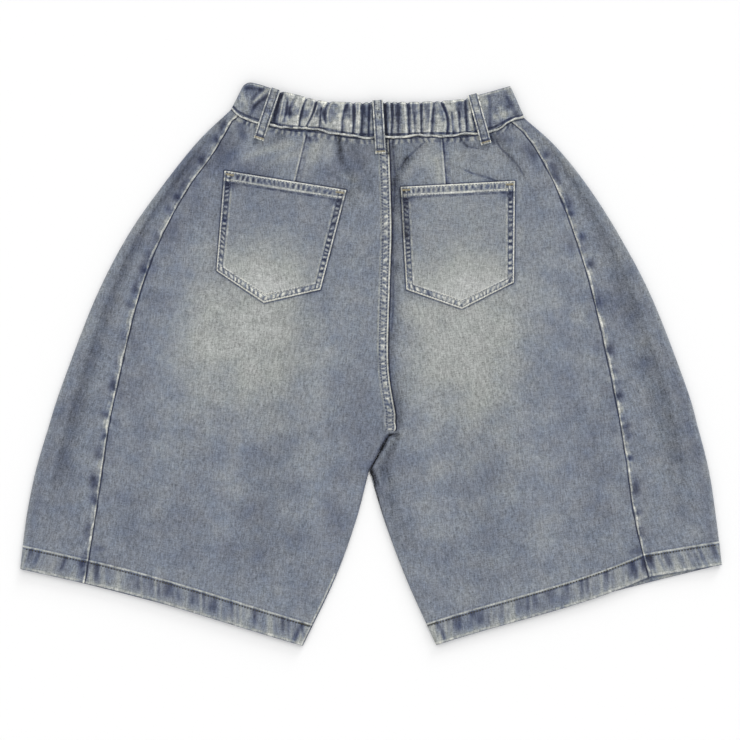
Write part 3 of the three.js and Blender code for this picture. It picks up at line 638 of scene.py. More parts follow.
def inner_edge(leg, row, share, level, is_upper):
    """The last few millimetres before an inner edge, which curl into a fold below the crotch."""
    inner = leg.inner(row)
    inward = leg.seam(row) - inner
    inward /= length_of(inward)[..., None]
    bend = share * math.pi / 2
    curl = smoothstep(row, CROTCH_ROW, FORK_ROW + 0.5)
    away = EDGE_RUN * lerp(1 - share, 1 - np.sin(bend), curl)
    rise = (level - SEAM_GAP) / 2 * (1 - np.cos(bend)) * curl
    plan = inner + inward * (away + SEAM_GAP / 2)[..., None]
    return with_height(plan, level - rise if is_upper else rise)


def fell_rise(across, along):
    return smoothstep(across, 1, FELL_EDGE) * (1 - smoothstep(along, 4.6, CROTCH_ROW))


def strip_points(leg, share, along):
    """Front cloth that wraps onto the upper side, from the side seam to the outer fold."""
    plan = between(leg.seam, leg.fold, share, along)
    fade = smoothstep(along, 0, 1.5) * (1 - 0.7 * smoothstep(along, HEM_ROW - 2, HEM_ROW))
    roll = SIDE_ROLL * bell(share - ROLL_PLACE, ROLL_SPREAD)
    trough = SIDE_TROUGH * bell(share - TROUGH_PLACE, TROUGH_SPREAD)
    meets = smoothstep(share, 0, 0.2)
    level = upper_level(plan[..., 0], plan[..., 1], along)
    return with_height(plan, level + (roll - trough) * fade * meets)


def mesh_places(across, along):
    """Two arrays that give every crossing of the places across and the places along."""
    return np.meshgrid(np.asarray(across, float), np.asarray(along, float))


def back_points(leg, along_places):
    """Outer face of a back panel, from the side seam to its inner edge."""
    seam_side = [0, 0.002, 0.005, 0.009, 0.014, 0.02]
    across, along = mesh_places([*seam_side, *np.linspace(0.027, 1, 118)], along_places)
    width = length_of(leg.seam(along) - leg.inner(along))
    start = SEAM_GAP / 2 / width
    fell = 1 - FELL_WIDTH / width
    plan = between(leg.seam, leg.inner, lerp(start, fell, across), along, leg.bow * upper_bow(across))
    body = with_height(plan, upper_level(plan[..., 0], plan[..., 1], along))

    across, along = mesh_places([1.04, 1.08, FELL_EDGE, 1.3, 1.5, 1.75, 2], along_places)
    width = length_of(leg.seam(along) - leg.inner(along))
    share = lerp(1 - FELL_WIDTH / width, 1 - (EDGE_RUN + SEAM_GAP / 2) / width, across - 1)
    plan = between(leg.seam, leg.inner, share, along, leg.bow * upper_bow(share))
    level = upper_level(plan[..., 0], plan[..., 1], along)
    fell = with_height(plan, level + leg.fell * fell_rise(across, along))

    share, along = mesh_places([0.2, 0.4, 0.6, 0.8, 1], along_places)
    width = length_of(leg.seam(along) - leg.inner(along))
    plan = between(leg.seam, leg.inner, 1 - (EDGE_RUN + SEAM_GAP / 2) / width, along)
    level = upper_level(plan[..., 0], plan[..., 1], along) + leg.fell * fell_rise(2.0, along)
    edge = inner_edge(leg, inner_row(leg, along), share, level, True)
    edge[..., 1] -= WAIST_GAP * (1 - smoothstep(along, 0, 1))
    return np.concatenate([body, fell, edge], axis=1)


def front_points(leg, along_places):
    """Outer face of a front panel: the strip on the upper side, the outer fold, the underside, the inner edge."""
    strip_across = [0, 0.01, 0.025, 0.045, 0.07, *np.linspace(0.1, 1, 32)]
    share, along = mesh_places(strip_across, along_places)
    width = length_of(leg.seam(along) - leg.fold(along))
    radius = strip_points(leg, 1 - UPPER_LEVEL / 2 / width, along)[..., 2] / 2
    end = 1 - radius / width
    strip = strip_points(leg, lerp(SEAM_GAP / 2 / width, end, share), along)

    turn, along = mesh_places(np.linspace(0, math.pi, 10)[1:], along_places)
    columns = turn.shape[1]
    top = np.repeat(strip[:, -1:], columns, axis=1)
    fold = between(leg.seam, leg.fold, np.ones_like(along), along)
    low = lower_level(fold[..., 0], fold[..., 1])
    plan = mix_points(top[..., :2], fold, np.sin(turn))
    rounded = with_height(plan, low + (top[..., 2] - low) / 2 * (1 + np.cos(turn)))

    across, along = mesh_places([0.008, 0.016, 0.024, 0.032, 0.05, *np.linspace(0.08, 1, 38)], along_places)
    span = length_of(leg.fold(along) - leg.inner(along))
    first = np.repeat(radius[:, -1:], across.shape[1], axis=1) / span
    share = lerp(first, 1 - (EDGE_RUN + SEAM_GAP / 2) / span, across)
    plan = between(leg.fold, leg.inner, share, along, leg.under_bow * under_bow(share), front_seam_y)
    top = np.repeat(strip[:, -1:, :2], across.shape[1], axis=1)
    plan = mix_points(top, plan, smoothstep(across, 0, 0.05))
    under = with_height(plan, lower_level(plan[..., 0], plan[..., 1]))

    share, along = mesh_places([0.25, 0.5, 0.75, 1], along_places)
    row = inner_row(leg, along)
    inner = leg.inner(row)
    level = upper_level(inner[..., 0], inner[..., 1], along)
    edge = inner_edge(leg, row, share, level, False)
    lift = leg.inner(np.zeros(1))[0, 1] - front_seam_y(edge[..., 0]) + WAIST_GAP
    edge[..., 1] -= lift * (1 - smoothstep(along, 0, 1))
    edge[..., 2] += lower_level(edge[..., 0], edge[..., 1])
    return np.concatenate([strip, rounded, under, edge], axis=1), len(strip_across)


def leg_places():
    """Places from waist to hem, closer together at the waist and in the hem."""
    return np.concatenate(
        [
            np.linspace(0, 0.12, 6),
            np.linspace(0.12, 8, 196)[1:],
            np.linspace(8, HEM_STEP_FROM, 20)[1:],
            np.linspace(HEM_STEP_FROM, HEM_STEP_TO, 4)[1:],
            np.linspace(HEM_STEP_TO, HEM_ROW, 15)[1:],
        ]
    )


# Meshes


def border_distances(points):
    """Millimetres along the cloth from each of its four borders."""
    across = length_of(np.diff(points, axis=1))
    down = length_of(np.diff(points, axis=0))
    left = np.pad(np.cumsum(across, axis=1), ((0, 0), (1, 0)))
    top = np.pad(np.cumsum(down, axis=0), ((1, 0), (0, 0)))
    return {"left": left, "right": left[:, -1:] - left, "top": top, "low": top[-1:] - top}


def cloth_piece(name, points, attributes, upward):
    """A sheet whose grid of points is given, row by row. upward tells how much of it should face up."""
    rows, columns = points.shape[:2]
    sheet = bmesh.new()
    bmesh.ops.create_grid(sheet, x_segments=columns - 1, y_segments=rows - 1, size=1)
    mesh = bpy.data.meshes.new(name)
    sheet.to_mesh(mesh)
    sheet.free()
    mesh.vertices.foreach_set("co", (points * MM).astype(np.float32).ravel())
    for key, values in attributes.items():
        layer = mesh.attributes.new(key, "FLOAT", "POINT")
        layer.data.foreach_set("value", np.broadcast_to(values, (rows, columns)).astype(np.float32).ravel())
    mesh.update()
    normals = np.zeros(3 * len(mesh.polygons), np.float32)
    mesh.polygons.foreach_get("normal", normals)
    faces_up = normals.reshape(rows - 1, columns - 1, 3)[:, :upward, 2].mean() > 0
    if not faces_up:
        mesh.flip_normals()
    mesh.shade_smooth()
    piece = bpy.data.objects.new(name, mesh)
    bpy.context.scene.collection.objects.link(piece)
    return piece


def give_thickness(piece, thickness, thin_share=1.0, weights=None, rim=0.35):
    """Thickens a sheet inwards, and softens its cut edges. weights are 1 where it is at its thickest."""
    solidify = piece.modifiers.new("Cloth", "SOLIDIFY")
    solidify.thickness = thickness * MM
    solidify.offset = -1
    if weights is not None:
        group = piece.vertex_groups.new(name="thick")
        flat = weights.ravel()
        for index in np.nonzero(flat > 0)[0]:
            group.add([int(index)], float(flat[index]), "REPLACE")
        solidify.vertex_group = group.name
        solidify.thickness_vertex_group = thin_share
    bevel = piece.modifiers.new("Soft edge", "BEVEL")
    bevel.width = rim * MM
    bevel.segments = 2
    bevel.limit_method = "ANGLE"
    bevel.angle_limit = math.radians(55)


def finish_piece(piece, material, node=None):
    piece.data.materials.clear()
    piece.data.materials.append(material)
    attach(piece, "root")
    if node:
        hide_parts(node)


def surface_of(*names):
    """Ray-casting trees of finished pieces."""
    depsgraph = bpy.context.evaluated_depsgraph_get()
    return [BVHTree.FromObject(bpy.data.objects[name], depsgraph) for name in names]


def drop_on(trees, plan, lift):
    """Points of a plan line, in millimetres, dropped onto the highest of the surfaces, with its normal."""
    points, normals = [], []
    for x, y in plan:
        hits = [tree.ray_cast(Vector((x * MM, y * MM, 0.05)), Vector((0, 0, -1))) for tree in trees]
        hits = [hit for hit in hits if hit[0] is not None and hit[0].z > 0.003]
        if not hits:
            continue
        place, normal = max(hits, key=lambda hit: hit[0].z)[:2]
        points.append(np.array(place) / MM + np.array(normal) * lift)
        normals.append(np.array(normal))
    return np.array(points), np.array(normals)


def evenly_along(plan, pitch):
    """Points a pitch apart along a plan line."""
    plan = np.asarray(plan, float)
    run = np.concatenate([[0], np.cumsum(length_of(np.diff(plan, axis=0)))])
    count = max(2, int(run[-1] / pitch))
    places = (np.arange(count) + 0.5) * run[-1] / count
    return np.stack([np.interp(places, run, plan[:, 0]), np.interp(places, run, plan[:, 1])], axis=-1)


def thread_mesh(name, stitches):
    """One mesh of many stitches. Each is a middle, a direction, a normal, a length and a width."""
    bead = bmesh.new()
    bmesh.ops.create_uvsphere(bead, u_segments=6, v_segments=4, radius=0.5)
    corners = np.array([v.co for v in bead.verts])
    faces = [[v.index for v in f.verts] for f in bead.faces]
    bead.free()
    vertices, polygons = [], []
    for middle, direction, normal, length, width in stitches:
        side = np.cross(normal, direction)
        axes = np.stack([direction * length, side * width, normal * width * 0.8])
        start = len(vertices) * len(corners)
        vertices.append(middle + corners[:, [2, 0, 1]] @ axes)
        polygons.extend([[start + i for i in face] for face in faces])
    mesh = bpy.data.meshes.new(name)
    mesh.from_pydata((np.concatenate(vertices) * MM).tolist(), [], polygons)
    mesh.shade_smooth()
    piece = bpy.data.objects.new(name, mesh)
    bpy.context.scene.collection.objects.link(piece)
    tidy = bmesh.new()
    tidy.from_mesh(mesh)
    bmesh.ops.recalc_face_normals(tidy, faces=tidy.faces)
    tidy.to_mesh(mesh)
    tidy.free()
    return piece


def stitch_row(trees, plan, pitch, width, lift=0.1, fill=0.8):
    """The stitches of one sewn row along a plan line."""
    middles = evenly_along(plan, pitch)
    points, normals = drop_on(trees, middles, lift)
    if len(points) < 2:
        return []
    directions = np.gradient(points, axis=0)
    directions /= length_of(directions)[:, None]
    return [(p, d, n, pitch * fill, width) for p, d, n in zip(points, directions, normals)]


# Materials


def add_node(tree, kind, inputs=None, **settings):
    """Adds a node, sets its settings, and sets or links its inputs."""
    node = tree.nodes.new(kind)
    for key, value in settings.items():
        setattr(node, key, value)
    for key, value in (inputs or {}).items():
        if isinstance(value, bpy.types.NodeSocket):
            tree.links.new(value, node.inputs[key])
        else:
            node.inputs[key].default_value = value
    return node


def new_material(name):
    material = bpy.data.materials.new(name)
    material.use_nodes = True
    tree = material.node_tree
    tree.nodes.clear()
    shader = add_node(tree, "ShaderNodeBsdfPrincipled")
    add_node(tree, "ShaderNodeOutputMaterial", {"Surface": shader.outputs[0]})
    return material, tree, shader


# How deep or pale the wash is, from raw indigo at 0 to worn cream at 1. In slots, troughs, folds and gaps a darker
# wash is partly painted shade, and on the gathers' rims and the outer folds a paler wash is partly painted light.
WASH_STOPS = ["indigo", "navy", "slate", "body", "worn", "pale", "cream"]
WASH_PLACES = [0.0, 0.2, 0.38, 0.5, 0.7, 0.86, 1.0]


def washed_denim(name, level=0.5, grain=1.15, mottle=0.1, turn=0.0, lines=()):
    """Cotton twill, indigo warp over pale weft, stone washed: matt, with a grain of short slubs, paler where it rubs."""
    colours = bpy.context.scene.shorts_colours
    material, tree, shader = new_material(name)
    place = add_node(tree, "ShaderNodeTexCoord").outputs["Object"]
    turned = add_node(tree, "ShaderNodeMapping", {"Vector": place, "Rotation": (0, 0, math.radians(turn))})
    # Warp slubs are about 0.7 mm wide and 5 mm long, drawn 1.3 mm wide so that they show
    warp = add_node(tree, "ShaderNodeMapping", {"Vector": turned.outputs[0], "Scale": (1, 0.22, 0.22)})
    weft = add_node(tree, "ShaderNodeMapping", {"Vector": turned.outputs[0], "Scale": (0.3, 1, 1)})
    slub = add_node(tree, "ShaderNodeTexNoise", {"Vector": warp.outputs[0], "Scale": 1 / (1.5 * MM), "Detail": 2.0})
    cross = add_node(tree, "ShaderNodeTexNoise", {"Vector": weft.outputs[0], "Scale": 1 / (1.4 * MM), "Detail": 1.0})
    fine = add_node(tree, "ShaderNodeTexNoise", {"Vector": place, "Scale": 1 / (1.3 * MM), "Detail": 2.0})
    patch = add_node(tree, "ShaderNodeTexNoise", {"Vector": place, "Scale": 1 / (6 * MM), "Detail": 3.0})
    cloud = add_node(tree, "ShaderNodeTexNoise", {"Vector": place, "Scale": 1 / (30 * MM), "Detail": 3.0})

    def with_noise(total, noise, weight):
        centred = add_node(tree, "ShaderNodeMath", {0: noise.outputs[0], 1: 0.5}, operation="SUBTRACT")
        inputs = {0: centred.outputs[0], 1: weight, 2: total}
        return add_node(tree, "ShaderNodeMath", inputs, operation="MULTIPLY_ADD").outputs[0]

    wash = add_node(tree, "ShaderNodeAttribute", attribute_name="wash").outputs["Fac"]
    wash = with_noise(wash, patch, mottle)
    wash = with_noise(wash, cloud, 1.6 * mottle)
    # painted shade: the shade attribute takes its share of light from the tone
    shade = add_node(tree, "ShaderNodeAttribute", attribute_name="shade").outputs["Fac"]
    lit = add_node(tree, "ShaderNodeMath", {0: 1.0, 1: shade}, operation="SUBTRACT").outputs[0]
    tone = with_noise(lit, slub, grain)
    tone = with_noise(tone, cross, 0.6 * grain)
    tone = with_noise(tone, fine, grain)

    height = add_node(tree, "ShaderNodeMath", {0: slub.outputs[0], 1: 0.12}, operation="MULTIPLY").outputs[0]
    height = add_node(
        tree, "ShaderNodeMath", {0: fine.outputs[0], 1: 0.1, 2: height}, operation="MULTIPLY_ADD"
    ).outputs[0]
    shift = add_node(tree, "ShaderNodeMath", {0: cloud.outputs[0], 1: 30.0}, operation="MULTIPLY").outputs[0]
    for line in lines:
        border = add_node(tree, "ShaderNodeAttribute", attribute_name=line.border).outputs["Fac"]
        away = add_node(tree, "ShaderNodeMath", {0: border, 1: line.at}, operation="SUBTRACT").outputs[0]
        away = add_node(tree, "ShaderNodeMath", {0: away}, operation="ABSOLUTE").outputs[0]
        mask = add_node(
            tree,
            "ShaderNodeMapRange",
            {"Value": away, "From Min": line.half, "From Max": line.half + line.soft, "To Min": 1.0, "To Max": 0.0},
            interpolation_type="SMOOTHSTEP",
        ).outputs[0]
        here = add_node(
            tree,
            "ShaderNodeMapRange",
            {"Value": patch.outputs[0], "From Min": 0.4, "From Max": 0.6, "To Min": 1 - line.broken, "To Max": 1.0},
        ).outputs[0]
        shown = add_node(tree, "ShaderNodeMath", {0: mask, 1: here}, operation="MULTIPLY").outputs[0]
        if line.along:
            run = add_node(tree, "ShaderNodeAttribute", attribute_name=line.along).outputs["Fac"]
            phase = add_node(
                tree,
                "ShaderNodeMath",
                {0: run, 1: 2 * math.pi / line.pitch, 2: shift},
                operation="MULTIPLY_ADD",
            ).outputs[0]
            wave = add_node(tree, "ShaderNodeMath", {0: phase}, operation="SINE").outputs[0]
            shown = add_node(tree, "ShaderNodeMath", {0: shown, 1: wave}, operation="MULTIPLY").outputs[0]
        wash = add_node(
            tree, "ShaderNodeMath", {0: shown, 1: line.change, 2: wash}, operation="MULTIPLY_ADD"
        ).outputs[0]
        height = add_node(
            tree, "ShaderNodeMath", {0: mask, 1: -line.groove, 2: height}, operation="MULTIPLY_ADD"
        ).outputs[0]

    wash = add_node(tree, "ShaderNodeMath", {0: wash, 1: level}, operation="ADD").outputs[0]
    ramp = add_node(tree, "ShaderNodeValToRGB", {"Fac": wash})
    stops = ramp.color_ramp.elements
    while len(stops) < len(WASH_STOPS):
        stops.new(0.5)
    for stop, key, at in zip(stops, WASH_STOPS, WASH_PLACES):
        stop.position = at
    for stop, key in zip(stops, WASH_STOPS):
        stop.color = (*getattr(colours, key), 1)
    # The indigo turns a little greener where the stones rubbed, unevenly
    dye = add_node(tree, "ShaderNodeTexNoise", {"Vector": place, "Scale": 1 / (17 * MM), "Detail": 3.0})
    strength = with_noise(1.0, dye, 1.1)
    dyed = {"Color": ramp.outputs["Color"], "Saturation": strength, "Value": tone}
    colour = add_node(tree, "ShaderNodeHueSaturation", dyed)
    tree.links.new(colour.outputs[0], shader.inputs["Base Color"])
    metres = add_node(tree, "ShaderNodeMath", {0: height, 1: MM}, operation="MULTIPLY")
    bump = add_node(tree, "ShaderNodeBump", {"Height": metres.outputs[0], "Distance": 1.0, "Strength": 0.9})
    tree.links.new(bump.outputs[0], shader.inputs["Normal"])
    shader.inputs["Roughness"].default_value = 0.92
    shader.inputs["IOR"].default_value = 1.45
    shader.inputs["Specular IOR Level"].default_value = 0.25
    shader.inputs["Sheen Weight"].default_value = 0.08
    shader.inputs["Sheen Roughness"].default_value = 0.6
    return material


def cotton_thread(name, code):
    """Core-spun sewing thread, twisted and dyed: a soft low gloss, a little uneven along its length."""
    material, tree, shader = new_material(name)
    place = add_node(tree, "ShaderNodeTexCoord").outputs["Object"]
    twist = add_node(tree, "ShaderNodeTexNoise", {"Vector": place, "Scale": 1 / (2 * MM), "Detail": 2.0})
    base = linear(code)
    ramp = add_node(tree, "ShaderNodeValToRGB", {"Fac": twist.outputs[0]})
    ramp.color_ramp.elements[0].position = 0.3
    ramp.color_ramp.elements[1].position = 0.7
    ramp.color_ramp.elements[0].color = (*[c * 0.6 for c in base], 1)
    ramp.color_ramp.elements[1].color = (*[min(1, c * 1.3) for c in base], 1)
    tree.links.new(ramp.outputs["Color"], shader.inputs["Base Color"])
    shader.inputs["Roughness"].default_value = 0.7
    return material


def old_brass(name, code):
    """Brass with an antique finish, stamped and tumbled: dull on its face, brighter where it rubs."""
    material, tree, shader = new_material(name)
    place = add_node(tree, "ShaderNodeTexCoord").outputs["Object"]
    tarnish = add_node(tree, "ShaderNodeTexNoise", {"Vector": place, "Scale": 1 / (2.5 * MM), "Detail": 4.0})
    base = linear(code)
    ramp = add_node(tree, "ShaderNodeValToRGB", {"Fac": tarnish.outputs[0]})
    ramp.color_ramp.elements[0].color = (*[c * 0.55 for c in base], 1)
    ramp.color_ramp.elements[1].color = (*base, 1)
    tree.links.new(ramp.outputs["Color"], shader.inputs["Base Color"])
    rough = add_node(
        tree, "ShaderNodeMapRange", {"Value": tarnish.outputs[0], "To Min": 0.3, "To Max": 0.6}
    ).outputs[0]
    tree.links.new(rough, shader.inputs["Roughness"])
    shader.inputs["Metallic"].default_value = 1.0
    return material


# How the cloth is worn, worked out for each point


def wear_at(x, y):
    total = np.zeros_like(x)
    for area in WEAR:
        turn = math.radians(area.turn)
        dx = (x - area.x) * math.cos(turn) + (y - area.y) * math.sin(turn)
        dy = (y - area.y) * math.cos(turn) - (x - area.x) * math.sin(turn)
        total += area.change * np.exp(-((dx / area.half_width) ** 2) - (dy / area.half_length) ** 2)
    return total


def blotches(across, along, pitch, size, seed):
    """Dark patches left beside a seam, a pitch apart and uneven, from 0 to 1."""
    random = np.random.default_rng(seed)
    total = np.zeros_like(across)
    place = random.uniform(0, pitch)
    while place < along.max():
        away = random.uniform(0.2, 1.0) * size
        width = size * random.uniform(0.5, 1.0)
        length = size * random.uniform(0.4, 1.2)
        total += random.uniform(0.3, 1) * bell(across - away, width) * bell(along - place, length)
        place += pitch * random.uniform(0.3, 1.7)
    return np.minimum(total, 1)


def beside_line(x, y, points, far=99.0):
    """Millimetres from a smooth line that runs down the shorts, positive on its right."""
    samples = smooth_line(points)(np.linspace(0, len(points) - 1, 10 * len(points)))
    nearest = np.full_like(x, far)
    for (start_x, start_y), (end_x, end_y) in zip(samples, samples[1:]):
        run_x, run_y = end_x - start_x, end_y - start_y
        share = ((x - start_x) * run_x + (y - start_y) * run_y) / (run_x**2 + run_y**2)
        share = np.clip(share, 0, 1)
        away = np.hypot(x - start_x - share * run_x, y - start_y - share * run_y)
        side = (y - start_y) * run_x - (x - start_x) * run_y
        nearest = np.where(away < np.abs(nearest), np.copysign(away, side), nearest)
    return nearest


def fold_distance(x, y):
    """Millimetres from the nearest thin fold."""
    nearest = np.full_like(x, 99.0)
    for points in THIN_FOLDS:
        away = beside_line(x, y, points)
        nearest = np.where(np.abs(away) < np.abs(nearest), away, nearest)
    return nearest


def outside_pocket(x, y, side):
    """Millimetres outside the edge of a pocket, and negative under it."""
    pocket = next(p for p in POCKETS if p.side == side)
    corners = [pocket.top_left, pocket.low_left, pocket.point, pocket.low_right, pocket.top_right]
    away = np.full_like(x, 99.0)
    inside = np.ones_like(x, bool)
    for (start_x, start_y), (end_x, end_y) in zip(corners, [*corners[1:], corners[0]]):
        run_x, run_y = end_x - start_x, end_y - start_y
        share = ((x - start_x) * run_x + (y - start_y) * run_y) / (run_x**2 + run_y**2)
        share = np.clip(share, 0, 1)
        away = np.minimum(away, np.hypot(x - start_x - share * run_x, y - start_y - share * run_y))
        inside &= run_x * (y - start_y) - run_y * (x - start_x) > 0
    return np.where(inside, -away, away)


def panel_relief(points, distances, side, seed):
    """Puckers and wear that the seams and the hem of a panel's upper side leave, and painted shade: the streaks'
    shade, and shade in the troughs of the creases with painted light on their ridges.
    """
    x, y = points[..., 0], points[..., 1]
    seam, top, low = distances["left"], distances["top"], distances["low"]
    hem = smoothstep(-low, -HEM_DEPTH, -HEM_DEPTH + HEM_STEP_RUN)
    roping = ripple(seam + 0.25 * low, 4.5, seed) * hem * smoothstep(low, 0, 3)
    columns = ripple(seam + 0.2 * low, 3.4, seed + 3) + 0.6 * ripple(seam - 0.2 * low, 8, seed + 4)
    puckers = ripple(top, 7, seed + 1) * bell(seam, 6) * (1 - hem)
    waist = ripple(x, 5, seed + 2) * bell(top, 9)
    height = 0.3 * roping + 0.22 * puckers + 0.35 * waist * smoothstep(top, 0, 3)
    height -= 0.5 * bell(seam, 1.6)
    height -= 0.3 * bell(low - HEM_DEPTH + 3, 1.5)
    inked = np.maximum(columns - 0.1, 0) * smoothstep(low, 5, 14)
    wash = hem * (0.14 * np.maximum(-columns, 0) - 0.26 * inked + 0.08 * (1 - smoothstep(low, 3, 12)) - 0.03)
    wash += 0.08 * puckers + 0.05 * waist
    # the creases make the wash a little darker in their troughs and paler on their ridges, partly wear and partly
    # painted shade and light
    wash += wear_at(x, y) + streak_wash(x, y) + 0.03 * creases(x, y) + 0.03 * swell(x, y, 48, 5)
    wash -= 0.1 * bell(seam - 5, 5) * bell(low - 20, 8)
    # painted shade of the streaks and of the crease troughs, with painted light on the crease ridges
    shade = streak_shade(x, y) - 0.05 * creases(x, y)
    return height, wash, shade


# Operators


class ShortsSizes(bpy.types.PropertyGroup):
    """Sizes that a user of the model would change."""

    cloth: bpy.props.FloatProperty(
        name="Cloth", description="Thickness of one layer of denim", default=0.0012, unit="LENGTH"
    )
    stitch: bpy.props.FloatProperty(
        name="Stitch", description="Length from one stitch to the next", default=0.0034, unit="LENGTH"
    )
    thread: bpy.props.FloatProperty(
        name="Thread", description="Thickness of the sewing thread", default=0.0008, unit="LENGTH"
    )
    camera_height: bpy.props.FloatProperty(
        name="Camera height", description="Camera above the surface", default=2.015, unit="LENGTH"
    )


def colour_property(name, code, description):
    return bpy.props.FloatVectorProperty(
        name=name, description=description, default=linear(code), subtype="COLOR", size=3, min=0, max=1
    )


class ShortsColours(bpy.types.PropertyGroup):
    """Colours of the wash, from the deepest to the palest, and of the stage."""

    # Indigo and slate also stand for painted shade, in the slots of the gathers and in the troughs
    indigo: colour_property("Indigo", "#282d40", "Deepest indigo, in the folds of the gathers")
    navy: colour_property("Navy", "#43495b", "Dark roping beside seams")
    slate: colour_property("Slate", "#606674", "Troughs")
    body: colour_property("Body", "#757b85", "Most of the cloth")
    worn: colour_property("Worn", "#969997", "Faded seat")
    pale: colour_property("Pale", "#aeb0ae", "Rubbed ridges")
    cream: colour_property("Cream", "#c9c9c0", "Bare weft along worn edges")
    surface: colour_property("Surface", "#f1f1f1", "Surface that the shorts lie on")


class SHORTS_OT_back_panels(bpy.types.Operator):
    """Makes both back panels, with their felled centre seam, darts and hems"""

    bl_idname = "shorts.back_panels"
    bl_label = "Back panels"

    def execute(self, context):
        cloth = context.scene.shorts_sizes.cloth / MM
        along = leg_places()
        for seed, (side, leg) in enumerate(LEGS.items()):
            points = back_points(leg, along)
            distances = border_distances(points)
            height, wash, shade = panel_relief(points, distances, side, 20 + 10 * seed)
            centre, top = distances["right"], distances["top"]
            down = np.broadcast_to(along[:, None], centre.shape)
            above_crotch = 1 - smoothstep(down, 5.2, 5.26)
            shared = smoothstep(down, 5.2, 5.4) * (1 - smoothstep(down, 6.2, 7.5))
            wash += (0.12 * bell(centre - 7, 4) - 0.3 * bell(centre - 14, 2.2)) * in_hem(down)
            if side == "left":
                height += 0.12 * rungs(top, 5.5, 8) * bell(centre - 7, 3) * above_crotch
                wash += 0.06 * smoothstep(-centre, -13.0, -11.5) * above_crotch
                # painted shade along the edge where this leg lies over the right one
                wash -= 0.2 * bell(centre, 2.5) * shared
            else:
                # painted shade: a darker wash beside the felled seam that lies over this panel
                wash -= 0.08 * bell(centre - 2, 4) * above_crotch
                lowered = 1 - smoothstep(centre, 1.5, 6)
                height -= 1.3 * lowered * shared
                height += (0.6 * bell(centre - 8, 4) - 0.6 * bell(centre - 15, 5)) * shared
                # painted shadow under the edge of the left leg
                shade += 0.4 * bell(centre, 2.5) * shared
            wash -= 0.12 * blotches(distances["left"], top, 34, 9, 31 + seed)
            x, y = points[..., 0], points[..., 1]
            dart = next(d for d in DARTS if d.side == side)
            dart = beside_line(x, y, [(dart.x1, dart.y1), (dart.x2, dart.y2)])
            height -= 0.35 * bell(dart - 0.8, 1.6)
            points[..., 2] += height * np.where(down < 6.3, 1, smoothstep(centre, 1, 5))
            attributes = {
                "wash": wash,
                "shade": light_lost(shade),
                "side_seam": distances["left"] + 0.5 * ripple(top, 9, 51 + seed),
                "centre_seam": np.where(down < 5.24, centre, centre + 60),
                "inseam": np.where(down > 7.9, centre, 99.0),
                "hem": distances["low"],
                "waist": top,
                "across": x,
                "dart": dart,
                "fold": fold_distance(x, y),
                "pocket": outside_pocket(x, y, side),
            }
            piece = cloth_piece(f"cloth_back_{side}", points, attributes, 100)
            weights = in_hem(down)
            give_thickness(piece, cloth + HEM_TURNING, cloth / (cloth + HEM_TURNING), weights)
            lines = [
                Line("side_seam", 0.3, 0.6, 0.9, -0.5, 0.3),
                # a darker line just below the waist seam: painted shadow under the rolled edge of the band
                Line("waist", 1.3, 0.7, 1.0, -0.5, 0.5, 0.1),
                Line("waist", 4.6, 1.6, 2.6, 0.26, 0.5, 0.0, "across", 7.5),
                # a darker line along each thin fold: painted shade in the crease
                Line("fold", 0.0, 0.3, 1.6, -0.22, 0.6, 0.3),
                # a dark outline round each pocket and a soft darker band outside it: painted shadow of the pocket's
                # edge
                Line("pocket", 0.8, 0.4, 0.8, -0.32, 0.4),
                Line("pocket", 0.0, 1.0, 5.0, -0.06, 0.5),
                Line("dart", 0.0, 0.5, 0.8, 0.3, 0.4),
                Line("dart", 1.8, 0.5, 0.9, -0.3, 0.5, 0.2),
                Line("dart", 4.5, 1.5, 3.0, -0.16, 1.0),
            ]
            lines += HEM_LINES
            if side == "left":
                lines += [
                    Line("centre_seam", 0.6, 0.7, 0.8, 0.42, 0.2),
                    Line("centre_seam", 2.8, 0.4, 0.9, -0.24, 0.4, 0.2),
                    Line("centre_seam", 2.8, 0.7, 0.9, 0.26, 0.2, 0.0, "waist", 3.9),
                    Line("centre_seam", 6.2, 1.3, 1.8, 0.32, 0.5, 0.0, "waist", 7.4),
                    Line("centre_seam", 7.4, 1.0, 1.4, 0.14, 0.6, 0.0, "waist", 3.6),
                    Line("centre_seam", 4.6, 0.8, 0.8, 0.14, 0.9),
                    Line("centre_seam", 9.9, 0.3, 0.9, -0.2, 0.4, 0.2),
                    Line("centre_seam", 9.9, 0.6, 0.9, 0.22, 0.2, 0.0, "waist", 3.4),
                    Line("centre_seam", 12.3, 0.4, 0.9, 0.14, 0.7),
                    Line("inseam", 3.4, 0.5, 0.8, 0.34, 0.3),
                    Line("inseam", 1.4, 0.5, 0.8, -0.3, 0.5),
                ]
            else:
                lines.append(Line("centre_seam", 0.4, 0.8, 0.9, -0.5, 0.4))
            turn = 8 if side == "left" else -8
            material = washed_denim(f"washed_denim_back_{side}", turn=turn, lines=lines)
            finish_piece(piece, material, f"back_panel_{side}")
        return {"FINISHED"}


